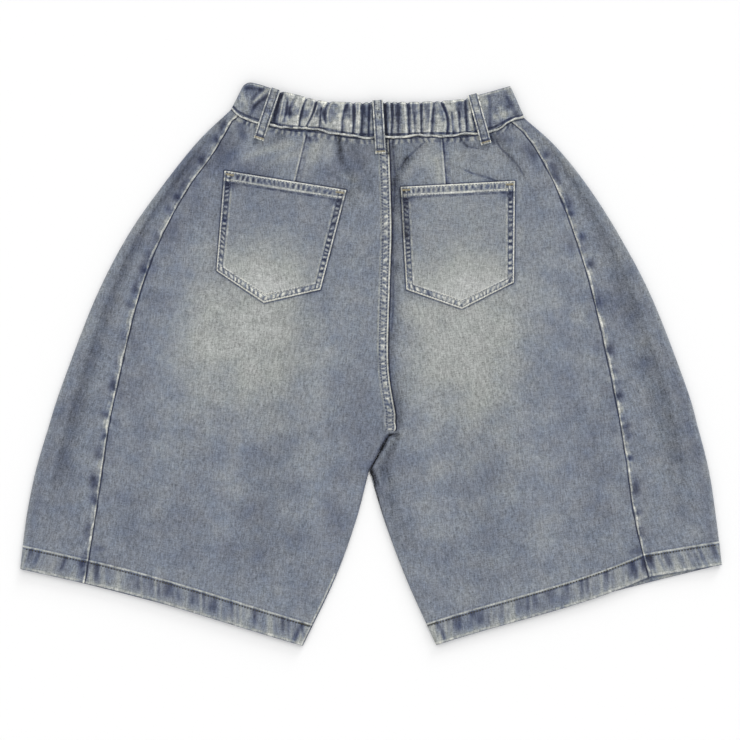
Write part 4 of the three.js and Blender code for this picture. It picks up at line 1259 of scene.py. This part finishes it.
class SHORTS_OT_front_panels(bpy.types.Operator):
    """Makes both front panels, which wrap round the outer folds"""

    bl_idname = "shorts.front_panels"
    bl_label = "Front panels"

    def execute(self, context):
        cloth = context.scene.shorts_sizes.cloth / MM
        along = leg_places()
        for seed, (side, leg) in enumerate(LEGS.items()):
            points, strip_columns = front_points(leg, along)
            distances = border_distances(points)
            height, wash, shade = panel_relief(points, distances, side, 60 + 10 * seed)
            columns = np.arange(points.shape[1])
            upper = smoothstep(-columns, -strip_columns, -(strip_columns - 8.0))
            points[..., 2] += height * upper
            x, y = points[..., 0], points[..., 1]
            wash -= streak_wash(x, y) * (1 - upper)
            under = np.broadcast_to(columns > strip_columns + 8, x.shape)
            width = length_of(leg.seam(along) - leg.fold(along))[:, None]
            share = distances["left"] / width
            trough = bell(share - TROUGH_PLACE, TROUGH_SPREAD) * smoothstep(-share, -1.4, -1)
            down = np.broadcast_to(along[:, None], share.shape)
            trough_shade_span = smoothstep(down, 0.3, 1.6) * (1 - smoothstep(down, 6.0, 8.4)) * upper
            # painted shade in the trough of the strip: a darker wash here and lost light below
            wash -= (0.08 if side == "left" else 0.02) * trough * trough_shade_span
            rim = width * (1 - share)
            # painted light: a paler wash along the outer fold, against the shade its rolled edge gets from the lamps
            wash += 0.17 * bell(rim - 1, 6) * smoothstep(down, 0.2, 1)
            shade += (0.1 * bell(share - 0.68, 0.05) + 0.1 * bell(share - 0.56, 0.13)) * trough_shade_span
            wash -= 0.5 * blotches(distances["left"], distances["top"], 22, 7, 41 + seed) * upper
            wash -= 0.12 * (1 - upper)
            attributes = {
                "wash": wash,
                "shade": light_lost(shade * upper),
                "side_seam": distances["left"] + 1.1 * ripple(distances["top"], 9, 53 + seed),
                "inseam": distances["right"],
                "opening": np.where(under, beside_line(x, y, FRONT_OPENINGS[side]), 99.0),
                "fly": np.where(under, beside_line(x, y, FLY), 99.0),
                "hem": distances["low"],
                "waist": distances["top"],
            }
            piece = cloth_piece(f"cloth_front_{side}", points, attributes, strip_columns - 4)
            weights = in_hem(down)
            give_thickness(piece, cloth + HEM_TURNING, cloth / (cloth + HEM_TURNING), weights)
            lines = [
                Line("side_seam", 0.9, 0.7, 0.8, 0.42, 0.4),
                Line("side_seam", 3.4, 1.0, 2.5, 0.14, 1.0),
                Line("waist", 1.2, 0.5, 0.9, -0.35, 0.6, 0.1),
                Line("inseam", 0.6, 0.7, 0.8, 0.3, 0.4),
                Line("inseam", 2.6, 0.4, 0.7, -0.3, 0.4),
                Line("inseam", 8.0, 0.4, 0.7, -0.2, 0.5),
                Line("opening", 0.0, 0.7, 0.8, 0.4, 0.3),
                Line("opening", -1.5, 0.5, 0.8, -0.4, 0.3),
                Line("opening", 2.6, 0.4, 0.7, -0.3, 0.4),
                Line("opening", 8.6, 0.4, 0.7, -0.3, 0.4),
                *HEM_LINES,
            ]
            if side == "right":
                lines += [
                    Line("fly", 0.0, 0.4, 0.7, -0.34, 0.4),
                    Line("fly", 5.5, 0.4, 0.7, -0.34, 0.4),
                    Line("fly", 2.8, 1.2, 1.4, 0.16, 0.8),
                ]
            turn = 16 if side == "left" else -16
            material = washed_denim(f"washed_denim_front_{side}", turn=turn, lines=lines)
            finish_piece(piece, material, f"front_panel_{side}")
        self.seam_allowance()
        return {"FINISHED"}

    def seam_allowance(self):
        """Cloth behind the centre front seam, from the waist to the crotch."""
        across, along = mesh_places(np.linspace(7, -7, 5), np.linspace(0.4, CROTCH_ROW - 0.1, 120))
        plan = LEGS["left"].inner(along)
        plan[..., 0] += across
        points = with_height(plan, 1.9 + lower_level(plan[..., 0], plan[..., 1]))
        # its wash is set dark, painted shade for the gap above it, though the inner face of denim is paler
        piece = cloth_piece("cloth_seam_allowance_front", points, {"wash": np.full_like(across, -0.3)}, 2)
        give_thickness(piece, 0.5)
        finish_piece(piece, washed_denim("washed_denim_seam_allowance"))


def band_plan(seam_x, top_x, up):
    low = np.stack([seam_x, waist_seam_y(seam_x)], axis=-1)
    high = np.stack([top_x, band_top_y(top_x)], axis=-1)
    return mix_points(low, high, up)


def gather_drop(x, up):
    """How far the gathers sink the band at a place, how dark their slots are and how pale their rims, 0 to 1. The
    dark slots are unfaded indigo and painted shade, the pale rims wear and painted highlight.
    """
    drop = np.zeros_like(x)
    slot = np.zeros_like(x)
    rim = np.zeros_like(x)
    for number, gather in enumerate(GATHERS):
        line = lerp(gather.seam, gather.top, up) + gather.bow * np.sin(math.pi * up)
        ends = smoothstep(up, gather.start - 0.12, gather.start) * (1 - smoothstep(up, gather.end, gather.end + 0.12))
        away = x - line
        strength = min(1, gather.depth / 1.6) * ends
        drop = np.maximum(drop, gather.depth * bell(away, gather.half) * ends)
        wider = 0.3 * bell(away - gather.half, gather.half)
        slot = np.maximum(slot, strength * (0.75 * bell(away, 0.55 * gather.half) + wider))
        left_rim = bell(away + 1.5 * gather.half, 0.8) * (0.6 + 0.4 * math.sin(2.3 * number))
        right_rim = bell(away - 1.7 * gather.half, 0.8) * (0.6 + 0.4 * math.cos(3.1 * number))
        rim = np.maximum(rim, strength * np.maximum(left_rim, right_rim))
    return drop, slot, rim


class SHORTS_OT_waistband(bpy.types.Operator):
    """Makes the gathered back of the waistband, its plain front and the rolled edge of its seam"""

    bl_idname = "shorts.waistband"
    bl_label = "Waistband"

    def execute(self, context):
        self.gathered_back()
        for side in ("left", "right"):
            self.front(side)
        self.seam_edge()
        return {"FINISHED"}

    def gathered_back(self):
        across, up = mesh_places(np.linspace(0, 1, 310), np.linspace(1, 0, 34))
        seam_x = lerp(JOIN_LEFT[0], JOIN_RIGHT[0], across)
        top_x = lerp(JOIN_LEFT[1], JOIN_RIGHT[1], across)
        plan = band_plan(seam_x, top_x, up)
        drop, slot, rim = gather_drop(lerp(seam_x, top_x, up), up)
        middle = np.sin(math.pi * up)
        edge = bell(up, 0.06) + bell(up - 1, 0.05)
        height = ELASTIC_UPPER + ELASTIC_PUFF * middle - drop * (0.6 + 0.4 * middle) - 0.8 * edge
        plan[..., 1] -= 1.0 * drop * smoothstep(up, 0.8, 1)
        points = with_height(plan, height + 0.12 * swell(plan[..., 0], plan[..., 1], 7, 11))
        distances = border_distances(points)
        x, y = plan[..., 0], plan[..., 1]
        inside = smoothstep(up, 0.25, 0.45) * (1 - smoothstep(up, 0.9, 1)) * (1 - rim)
        inky = smoothstep(swell(x, y * 0.4, 13, 12), -0.7, 0.8)
        # slots: unfaded indigo with painted shade; rims: worn cloth with painted highlight
        wash = 0.28 - 0.94 * slot + 0.28 * rim * (1 - slot) - 0.46 * inside * inky
        wash += 0.12 * swell(x, y, 6, 13) - 0.2 * bell(x - 8, 20) + streak_wash(x, y)
        shade = light_lost(streak_shade(x, y))
        attributes = {"wash": wash, "shade": shade, "top_edge": distances["top"], "waist": distances["low"]}
        piece = cloth_piece("cloth_waistband_back", points, attributes, 200)
        give_thickness(piece, BAND_CLOTH)
        lines = [
            Line("waist", 2.3, 0.8, 1.2, -0.6, 0.5, 0.4),
            Line("top_edge", 0.0, 0.3, 0.6, -0.3, 0.4),
            Line("top_edge", 1.4, 0.6, 1.0, 0.2, 0.8),
        ]
        material = washed_denim("washed_denim_gathered", 0.5, 1.4, 0.4, lines=lines)
        finish_piece(piece, material, "waistband_back")

    def front(self, side):
        is_left = side == "left"
        join = JOIN_LEFT if is_left else JOIN_RIGHT
        away = -1 if is_left else 1
        fold_seam = WAIST_SEAM[0 if is_left else -1][0]
        fold_top = BAND_TOP[0 if is_left else -1][0]
        radius = (BAND_UPPER - BAND_UNDER) / 2
        gap = away * SEAM_GAP / 2
        up_places = np.linspace(1, 0, 30)

        across, up = mesh_places(np.linspace(0, 1, 34), up_places)
        seam_x = lerp(join[0] + gap, fold_seam - away * radius, across)
        top_x = lerp(join[1] + gap, fold_top - away * radius, across)
        plan = band_plan(seam_x, top_x, up)
        upper = with_height(plan, BAND_UPPER)

        turn, up = mesh_places(np.linspace(0, math.pi, 12)[1:], up_places)
        out = away * radius * np.sin(turn) - away * radius
        plan = band_plan(fold_seam + out, fold_top + out, up)
        rounded = with_height(plan, BAND_UNDER + radius + radius * np.cos(turn))

        across, up = mesh_places(np.linspace(0, 1, 40)[1:], up_places)
        end = CENTRE_FRONT - LAP + gap
        seam_x = lerp(fold_seam - away * radius, end, across)
        top_x = lerp(fold_top - away * radius, end, across)
        low = np.stack([seam_x, front_seam_y(seam_x)], axis=-1)
        top_y = band_top_y(top_x) - FRONT_BAND_DROP * smoothstep(across, 0, 0.3)
        under = with_height(mix_points(low, np.stack([top_x, top_y], axis=-1), up), BAND_UNDER)

        points = np.concatenate([upper, rounded, under], axis=1)
        distances = border_distances(points)
        columns = np.arange(points.shape[1])
        shown = smoothstep(-columns, -34.0, -28.0)
        x, y = points[..., 0], points[..., 1]
        top, low = distances["top"], distances["low"]
        edge = bell(low, 1.8) + bell(top, 1.5)
        points[..., 2] += (0.25 * swell(x, y, 22, 15) - 0.5 * edge) * shown
        slant = x + 0.45 * (y - 300)
        wash = 0.05 + 0.05 * swell(slant, y * 0.4, 19, 16) + 0.07 * swell(slant, y * 0.5, 8, 17)
        wash += streak_wash(x, y) * shown
        attributes = {"wash": wash, "top_edge": top, "waist": low}
        piece = cloth_piece(f"cloth_waistband_front_{side}", points, attributes, 28)
        give_thickness(piece, BAND_CLOTH)
        lines = [
            Line("waist", 2.4, 0.7, 1.1, -0.45, 0.4, 0.3),
            Line("top_edge", 0.2, 0.3, 0.6, -0.3, 0.3),
            Line("top_edge", 1.6, 0.7, 1.0, 0.25, 0.6),
        ]
        material = washed_denim(f"washed_denim_band_{side}", 0.46, 1.4, 0.35, lines=lines)
        finish_piece(piece, material, f"waistband_front_{side}")

    def seam_edge(self):
        """The folded lower edge of the band, worn to a pale cord along the waist seam."""
        x_places = np.linspace(WAIST_SEAM[0][0] + 1, WAIST_SEAM[-1][0] - 1, 420)
        turn, x = mesh_places(np.linspace(0, 2 * math.pi, 9), x_places)
        radius = 1.2 + 0.25 * ripple(x, 4, 21)
        y = waist_seam_y(x) + 0.1 + 1.9 * ripple(x, 14, 22) + 0.5 * ripple(x, 5, 26)
        level = 6.9 + 0.5 * smoothstep(np.abs(x - 5), -150, -100) + 0.3 * ripple(x, 6, 23)
        points = np.stack([x, y + radius * np.cos(turn), level + radius * np.sin(turn)], axis=-1)
        wash = 0.42 + 0.16 * ripple(x, 6, 24)
        piece = cloth_piece("cloth_waist_seam_edge", points, {"wash": wash}, 4)
        material = washed_denim("washed_denim_seam_edge", 0.5, 1.4, 0.3)
        finish_piece(piece, material)


def pocket_plan(pocket, across, down):
    left_slope = math.dist(pocket.low_left, pocket.point)
    right_slope = math.dist(pocket.point, pocket.low_right)
    point_share = left_slope / (left_slope + right_slope)
    corner = {key: np.array(getattr(pocket, key)) for key in Pocket._fields[1:]}
    top = mix_points(corner["top_left"], corner["top_right"], across)
    left_low = mix_points(corner["low_left"], corner["point"], across / point_share)
    right_share = (across - point_share) / (1 - point_share)
    right_low = mix_points(corner["point"], corner["low_right"], right_share)
    low = np.where((across <= point_share)[..., None], left_low, right_low)
    return mix_points(top, low, down)


def pocket_inset(pocket, inset):
    """A plan line along a pocket's sides and bottom, inset from its edge."""
    width = math.dist(pocket.top_left, pocket.top_right)
    depth = math.dist(pocket.top_left, pocket.low_left)
    left_slope = math.dist(pocket.low_left, pocket.point)
    right_slope = math.dist(pocket.point, pocket.low_right)
    point_share = left_slope / (left_slope + right_slope)
    in_across, in_down = inset / width, inset / depth
    across = [in_across, in_across, point_share, 1 - in_across, 1 - in_across]
    down = [0.01, 1 - in_down, 1 - in_down, 1 - in_down, 0.01]
    return pocket_plan(pocket, np.array(across), np.array(down))


class SHORTS_OT_pockets(bpy.types.Operator):
    """Makes the two patch pockets"""

    bl_idname = "shorts.pockets"
    bl_label = "Back pockets"

    def execute(self, context):
        cloth = context.scene.shorts_sizes.cloth / MM
        for seed, pocket in enumerate(POCKETS):
            across, down = mesh_places(np.linspace(0, 1, 96), np.linspace(0, 1, 92))
            plan = pocket_plan(pocket, across, down)
            x, y = plan[..., 0], plan[..., 1]
            points = with_height(plan, upper_level(x, y) + POCKET_LIFT + cloth)
            distances = border_distances(points)
            top = distances["top"]
            edge = np.minimum(np.minimum(distances["left"], distances["right"]), distances["low"])
            hem = 1 - smoothstep(top, POCKET_HEM, POCKET_HEM + 2)
            band = (1 - smoothstep(edge, 7.5, 9)) * (1 - hem)
            around = np.where(distances["low"] < 9, distances["left"], top)
            roping = rungs(around + 0.3 * edge, 6.2, 70 + seed)
            ladder = rungs(distances["left"] + 0.3 * top, 5.9, 72 + seed)
            height = POCKET_HEM_STEP * hem - 0.45 * bell(edge, 1.2) - 0.3 * bell(top, 1.2)
            height += 0.2 * roping * band + 0.2 * ladder * hem * bell(top - 5.5, 3.5)
            points[..., 2] += height
            depth_share = top / top.max()
            low_share = smoothstep(depth_share, 0.3, 1)
            wash = wear_at(x, y) + streak_wash(x, y) + 0.14 * smoothstep(depth_share, 0.35, 0.9) - 0.02
            wash += (0.24 * roping - 0.12) * bell(edge - 4.8, 2.6) * band
            wash += (0.08 * low_share - 0.02) * band
            wash += hem * (0.08 + (0.26 * ladder - 0.14) * bell(top - 5.4, 2.8))
            corner = bell(np.minimum(distances["left"], distances["right"]) - 5, 8)
            wash -= 0.4 * corner * bell(top - 15, 4) * (1 - hem)
            attributes = {
                "wash": wash,
                "shade": light_lost(streak_shade(x, y)),
                "pocket_edge": edge,
                "pocket_top": top,
                "across": distances["left"],
                "around": around,
            }
            piece = cloth_piece(f"cloth_pocket_{pocket.side}", points, attributes, 90)
            give_thickness(piece, cloth)
            lines = [
                Line("pocket_edge", 0.7, 1.0, 0.8, 0.5, 0.2),
                Line("pocket_edge", 2.5, 0.4, 0.8, -0.3, 0.5, 0.25),
                Line("pocket_edge", 5.0, 1.3, 1.8, 0.38, 0.4, 0.0, "around", 6.4),
                Line("pocket_edge", 7.4, 0.4, 0.8, -0.24, 0.5, 0.25),
                Line("pocket_edge", 9.2, 0.6, 1.2, 0.2, 0.7),
                Line("pocket_top", 0.9, 1.0, 0.8, 0.45, 0.2),
                Line("pocket_top", 5.4, 1.6, 2.0, 0.26, 0.4, 0.0, "across", 6.2),
                Line("pocket_top", 9.8, 0.8, 0.9, 0.36, 0.4, 0.2),
                Line("pocket_top", 12.3, 0.7, 1.6, -0.34, 0.8, 0.1),
            ]
            turn = -8 if pocket.side == "left" else 4
            material = washed_denim(f"washed_denim_pocket_{pocket.side}", turn=turn, lines=lines)
            finish_piece(piece, material, f"back_pocket_{pocket.side}")
        return {"FINISHED"}


class SHORTS_OT_belt_loops(bpy.types.Operator):
    """Makes the five belt loops"""

    bl_idname = "shorts.belt_loops"
    bl_label = "Belt loops"

    def execute(self, context):
        over_band = ELASTIC_UPPER + ELASTIC_PUFF + LOOP_LIFT
        on_panel = UPPER_LEVEL + WAIST_RISE + FELL_STEP + LOOP_LIFT
        material = washed_denim(
            "washed_denim_loops",
            0.58,
            2.0,
            0.35,
            lines=[
                Line("loop_edge", 0.4, 0.7, 0.7, 0.4, 0.4),
                Line("loop_edge", 2.3, 0.3, 0.7, -0.4, 0.6, 0.25),
                Line("loop_end", 1.4, 1.0, 0.8, 0.4, 0.3),
                Line("loop_end", 4.6, 0.8, 1.2, -0.4, 0.3, 0.2),
            ],
        )
        for loop in BACK_LOOPS:
            middle_x = (loop.top_x + loop.low_x) / 2
            band_length = loop.top_y - float(waist_seam_y(middle_x))

            def route(run, band_length=band_length):
                return lerp(over_band, on_panel, smoothstep(run, band_length, band_length + LOOP_RAMP))

            self.strip(loop, route, LOOP_CLOTH, 1, material)
        for loop in FRONT_LOOPS:
            self.strip(loop, lambda run: np.zeros_like(run), BAND_UNDER - LOOP_LIFT, -1, material)
        return {"FINISHED"}

    def strip(self, loop, route, cloth, facing, material):
        start = np.array([loop.top_x, loop.top_y])
        end = np.array([loop.low_x, loop.low_y])
        length = math.dist(start, end)
        direction = (end - start) / length
        side = np.array([direction[1], -direction[0]])
        across, along = mesh_places(np.linspace(-0.5, 0.5, 21), np.linspace(0, 1, 90))
        run = along * length
        plan = start + direction * run[..., None] + side * (across * LOOP_WIDTH)[..., None]
        edge = (0.5 - np.abs(across)) * LOOP_WIDTH
        soft = 0.25 * bell(edge, 1.0) + 0.2 * bell(run, 1.5) + 0.2 * bell(length - run, 1.5)
        if facing > 0:
            height = route(run) + cloth - soft
        else:
            height = np.zeros_like(run)
        points = with_height(plan, height)
        wash = 0.16 * ripple(run + 3 * across, 3, 90) * bell(edge - 5, 3) - 0.1 * bell(edge - 2.2, 1.2)
        attributes = {"wash": wash, "loop_edge": edge, "loop_end": length - run}
        piece = cloth_piece(f"cloth_loop_{loop.place}", points, attributes, 20)
        if facing < 0:
            piece.data.flip_normals()
        give_thickness(piece, cloth, rim=0.25)
        finish_piece(piece, material, f"belt_loop_{loop.place}")


class SHORTS_OT_stitching(bpy.types.Operator):
    """Sews the rows of thread and the bar tacks"""

    bl_idname = "shorts.stitching"
    bl_label = "Stitching"

    def execute(self, context):
        sizes = context.scene.shorts_sizes
        self.pitch = sizes.stitch / MM
        self.width = sizes.thread / MM
        thread = cotton_thread("cotton_thread_grey_blue", "#5c6272")
        olive = cotton_thread("cotton_thread_olive", "#3a392e")
        self.hems(olive)
        self.pockets(thread)
        self.centre_seam(thread)
        self.loops(thread)
        self.tacks(cotton_thread("cotton_thread_tan", "#a09678"))
        self.hem_tacks(olive)
        return {"FINISHED"}

    def sewn(self, name, stitches, thread, slot="denim"):
        piece = thread_mesh(name, stitches)
        finish_piece(piece, thread)

    def hems(self, thread):
        for side, leg in LEGS.items():
            trees = surface_of(f"cloth_back_{side}", f"cloth_front_{side}")
            share = np.linspace(0.01, 0.985, 60)
            row = np.full(60, HEM_STITCHES)
            back = between(leg.seam, leg.inner, share, row, leg.bow * upper_bow(share))
            front = between(leg.seam, leg.fold, np.linspace(0.02, 0.95, 16), np.full(16, HEM_STITCHES))
            stitches = stitch_row(trees, back, self.pitch, 2.3 * self.width, fill=0.6)
            stitches += stitch_row(trees, front, self.pitch, 2.3 * self.width, fill=0.6)
            self.sewn(f"thread_hem_{side}", stitches, thread)

    def pockets(self, thread):
        for pocket in POCKETS:
            trees = surface_of(f"cloth_pocket_{pocket.side}")
            stitches = []
            for inset in (1.9, 7.6):
                stitches += stitch_row(trees, pocket_inset(pocket, inset), self.pitch, self.width)
            depth = math.dist(pocket.top_left, pocket.low_left)
            for drop in (1.6, 9.6):
                across = np.linspace(0.01, 0.99, 20)
                plan = pocket_plan(pocket, across, np.full(20, drop / depth))
                stitches += stitch_row(trees, plan, self.pitch, self.width)
            self.sewn(f"thread_pocket_{pocket.side}", stitches, thread)

    def centre_seam(self, thread):
        leg = LEGS["left"]
        trees = surface_of("cloth_back_left")
        row = np.linspace(0.1, 5.2, 80)
        width = length_of(leg.seam(row) - leg.inner(row))
        stitches = []
        for inset in (2.4, 9.8):
            plan = between(leg.seam, leg.inner, 1 - inset / width, row)
            stitches += stitch_row(trees, plan, self.pitch, self.width)
        self.sewn("thread_centre_seam", stitches, thread)

    def loops(self, thread):
        stitches = []
        for loop in BACK_LOOPS:
            trees = surface_of(f"cloth_loop_{loop.place}")
            start = np.array([loop.top_x, loop.top_y])
            end = np.array([loop.low_x, loop.low_y])
            direction = (end - start) / math.dist(start, end)
            side = np.array([direction[1], -direction[0]])
            for offset in (-3.8, 3.8):
                plan = np.stack([start + side * offset + direction * 2, end + side * offset - direction * 3])
                stitches += stitch_row(trees, plan, 2.6, 0.7)
        self.sewn("thread_belt_loops", stitches, thread)

    def tacks(self, thread):
        """Bar tacks: dense short stitches side by side."""
        stitches = []
        for pocket in POCKETS:
            trees = surface_of(f"cloth_pocket_{pocket.side}")
            across = np.array([0.012, 0.082])
            for ends in (across, 1 - across):
                plan = pocket_plan(pocket, ends, np.array([0.032, 0.032]))
                stitches += self.tack(trees, plan[0], plan[1], 3.0)
        for loop in BACK_LOOPS:
            trees = surface_of(f"cloth_loop_{loop.place}")
            start = np.array([loop.top_x, loop.top_y])
            end = np.array([loop.low_x, loop.low_y])
            direction = (end - start) / math.dist(start, end)
            side = np.array([direction[1], -direction[0]])
            middle = end - direction * 2.2
            stitches += self.tack(trees, middle - side * 5.2, middle + side * 5.2, 2.2)
        self.sewn("thread_bar_tacks", stitches, thread)

    def hem_tacks(self, thread):
        """Bar tacks where each hem crosses the inner leg seam."""
        stitches = self.tack(surface_of("cloth_back_left"), (-83.5, -295.4), (-69.5, -299.8), 1.8)
        stitches += self.tack(surface_of("cloth_back_right"), (64.5, -299.6), (76, -295.4), 1.8)
        self.sewn("thread_hem_tacks", stitches, thread)

    def tack(self, trees, start, end, width):
        plan = evenly_along(np.stack([start, end]), 0.9)
        points, normals = drop_on(trees, plan, 0.15)
        if len(points) < 2:
            raise RuntimeError("a bar tack lies off its cloth")
        directions = np.gradient(points, axis=0)
        directions /= length_of(directions)[:, None]
        return [(p, np.cross(n, d), n, width, 0.8) for p, d, n in zip(points, directions, normals)]


class SHORTS_OT_button(bpy.types.Operator):
    """Makes the waist button, which lies under the front"""

    bl_idname = "shorts.button"
    bl_label = "Waist button"

    def execute(self, context):
        profile = [
            (0.0, 0.25),
            (3.2, 0.25),
            (4.0, 0.0),
            (BUTTON_RADIUS - 1.2, 0.0),
            (BUTTON_RADIUS - 0.3, 0.2),
            (BUTTON_RADIUS, 0.55),
            (BUTTON_RADIUS - 0.5, 1.1),
            (4.0, 1.2),
            (3.5, BUTTON_HEIGHT),
            (0.0, BUTTON_HEIGHT),
        ]
        y = (FRONT_SEAM_LOW + float(band_top_y(CENTRE_FRONT)) - FRONT_BAND_DROP) / 2
        middle = Vector((CENTRE_FRONT * MM, y * MM, 0))
        shape = bmesh.new()
        line = [shape.verts.new(middle + Vector((r * MM, 0, z * MM))) for r, z in profile]
        edges = [shape.edges.new(pair) for pair in zip(line, line[1:])]
        bmesh.ops.spin(
            shape, geom=line + edges, cent=middle, axis=(0, 0, 1), angle=2 * math.pi, steps=48, use_merge=True
        )
        bmesh.ops.remove_doubles(shape, verts=shape.verts, dist=0.01 * MM)
        bmesh.ops.recalc_face_normals(shape, faces=shape.faces)
        mesh = bpy.data.meshes.new("metal_waist_button")
        shape.to_mesh(mesh)
        shape.free()
        mesh.shade_smooth()
        piece = bpy.data.objects.new("metal_waist_button", mesh)
        context.scene.collection.objects.link(piece)
        finish_piece(piece, old_brass("antique_brass", "#8a7a5c"), "waist_button")
        return {"FINISHED"}


class SHORTS_OT_stage(bpy.types.Operator):
    """Sets the surface, the light and the camera"""

    bl_idname = "shorts.stage"
    bl_label = "Stage"

    def execute(self, context):
        scene = context.scene
        sizes, colours = scene.shorts_sizes, scene.shorts_colours
        floor = bmesh.new()
        bmesh.ops.create_grid(floor, x_segments=8, y_segments=8, size=4)
        mesh = bpy.data.meshes.new("surface")
        floor.to_mesh(mesh)
        floor.free()
        surface = bpy.data.objects.new("surface", mesh)
        scene.collection.objects.link(surface)
        material, tree, shader = new_material("matt_white_board")
        place = add_node(tree, "ShaderNodeTexCoord").outputs["Object"]
        tooth = add_node(tree, "ShaderNodeTexNoise", {"Vector": place, "Scale": 400.0})
        bump = add_node(tree, "ShaderNodeBump", {"Height": tooth.outputs[0], "Distance": 0.0001, "Strength": 0.3})
        tree.links.new(bump.outputs[0], shader.inputs["Normal"])
        shader.inputs["Base Color"].default_value = (*colours.surface, 1)
        shader.inputs["Roughness"].default_value = 0.9
        mesh.materials.append(material)

        world = bpy.data.worlds.new("studio")
        world.use_nodes = True
        world.node_tree.nodes["Background"].inputs["Color"].default_value = (1, 1, 1, 1)
        world.node_tree.nodes["Background"].inputs["Strength"].default_value = 0.9
        scene.world = world
        # A broad lamp above the waist, and a low one that draws the faint shadow below the hems
        for name, energy, width, fall, turn in (("key", 0.7, 60, -46, -12), ("low", 1.0, 16, -75, -22)):
            light = bpy.data.lights.new(name, "SUN")
            light.energy = energy
            light.angle = math.radians(width)
            lamp = bpy.data.objects.new(name, light)
            lamp.rotation_euler = (math.radians(fall), 0, math.radians(turn))
            scene.collection.objects.link(lamp)

        camera = bpy.data.cameras.new("camera")
        camera.lens = 85
        camera.sensor_width = 36
        camera.clip_end = 20
        eye = bpy.data.objects.new("camera", camera)
        eye.location = (-0.0006, -0.0052, sizes.camera_height)
        scene.collection.objects.link(eye)
        scene.camera = eye
        scene.view_settings.view_transform = "Standard"
        scene.view_settings.look = "None"
        return {"FINISHED"}


class SHORTS_PT_panel(bpy.types.Panel):
    """Lists the steps that make the shorts"""

    bl_idname = "SHORTS_PT_panel"
    bl_label = "Denim shorts"
    bl_space_type = "VIEW_3D"
    bl_region_type = "UI"
    bl_category = "Denim shorts"

    def draw(self, context):
        for step in STEPS:
            self.layout.operator(step.bl_idname)
        for group in (context.scene.shorts_sizes, context.scene.shorts_colours):
            for key in group.__annotations__:
                self.layout.prop(group, key)


STEPS = [
    SHORTS_OT_stage,
    SHORTS_OT_back_panels,
    SHORTS_OT_front_panels,
    SHORTS_OT_waistband,
    SHORTS_OT_pockets,
    SHORTS_OT_belt_loops,
    SHORTS_OT_stitching,
    SHORTS_OT_button,
]
CLASSES = [ShortsSizes, ShortsColours, *STEPS, SHORTS_PT_panel]


def register():
    for part in CLASSES:
        bpy.utils.register_class(part)
    bpy.types.Scene.shorts_sizes = bpy.props.PointerProperty(type=ShortsSizes)
    bpy.types.Scene.shorts_colours = bpy.props.PointerProperty(type=ShortsColours)


def unregister():
    del bpy.types.Scene.shorts_colours
    del bpy.types.Scene.shorts_sizes
    for part in reversed(CLASSES):
        bpy.utils.unregister_class(part)


def main():
    register()
    bpy.ops.shorts.stage()
    bpy.ops.shorts.back_panels()
    bpy.ops.shorts.front_panels()
    bpy.ops.shorts.waistband()
    bpy.ops.shorts.pockets()
    bpy.ops.shorts.belt_loops()
    bpy.ops.shorts.stitching()
    bpy.ops.shorts.button()


if __name__ == "__main__":
    main()
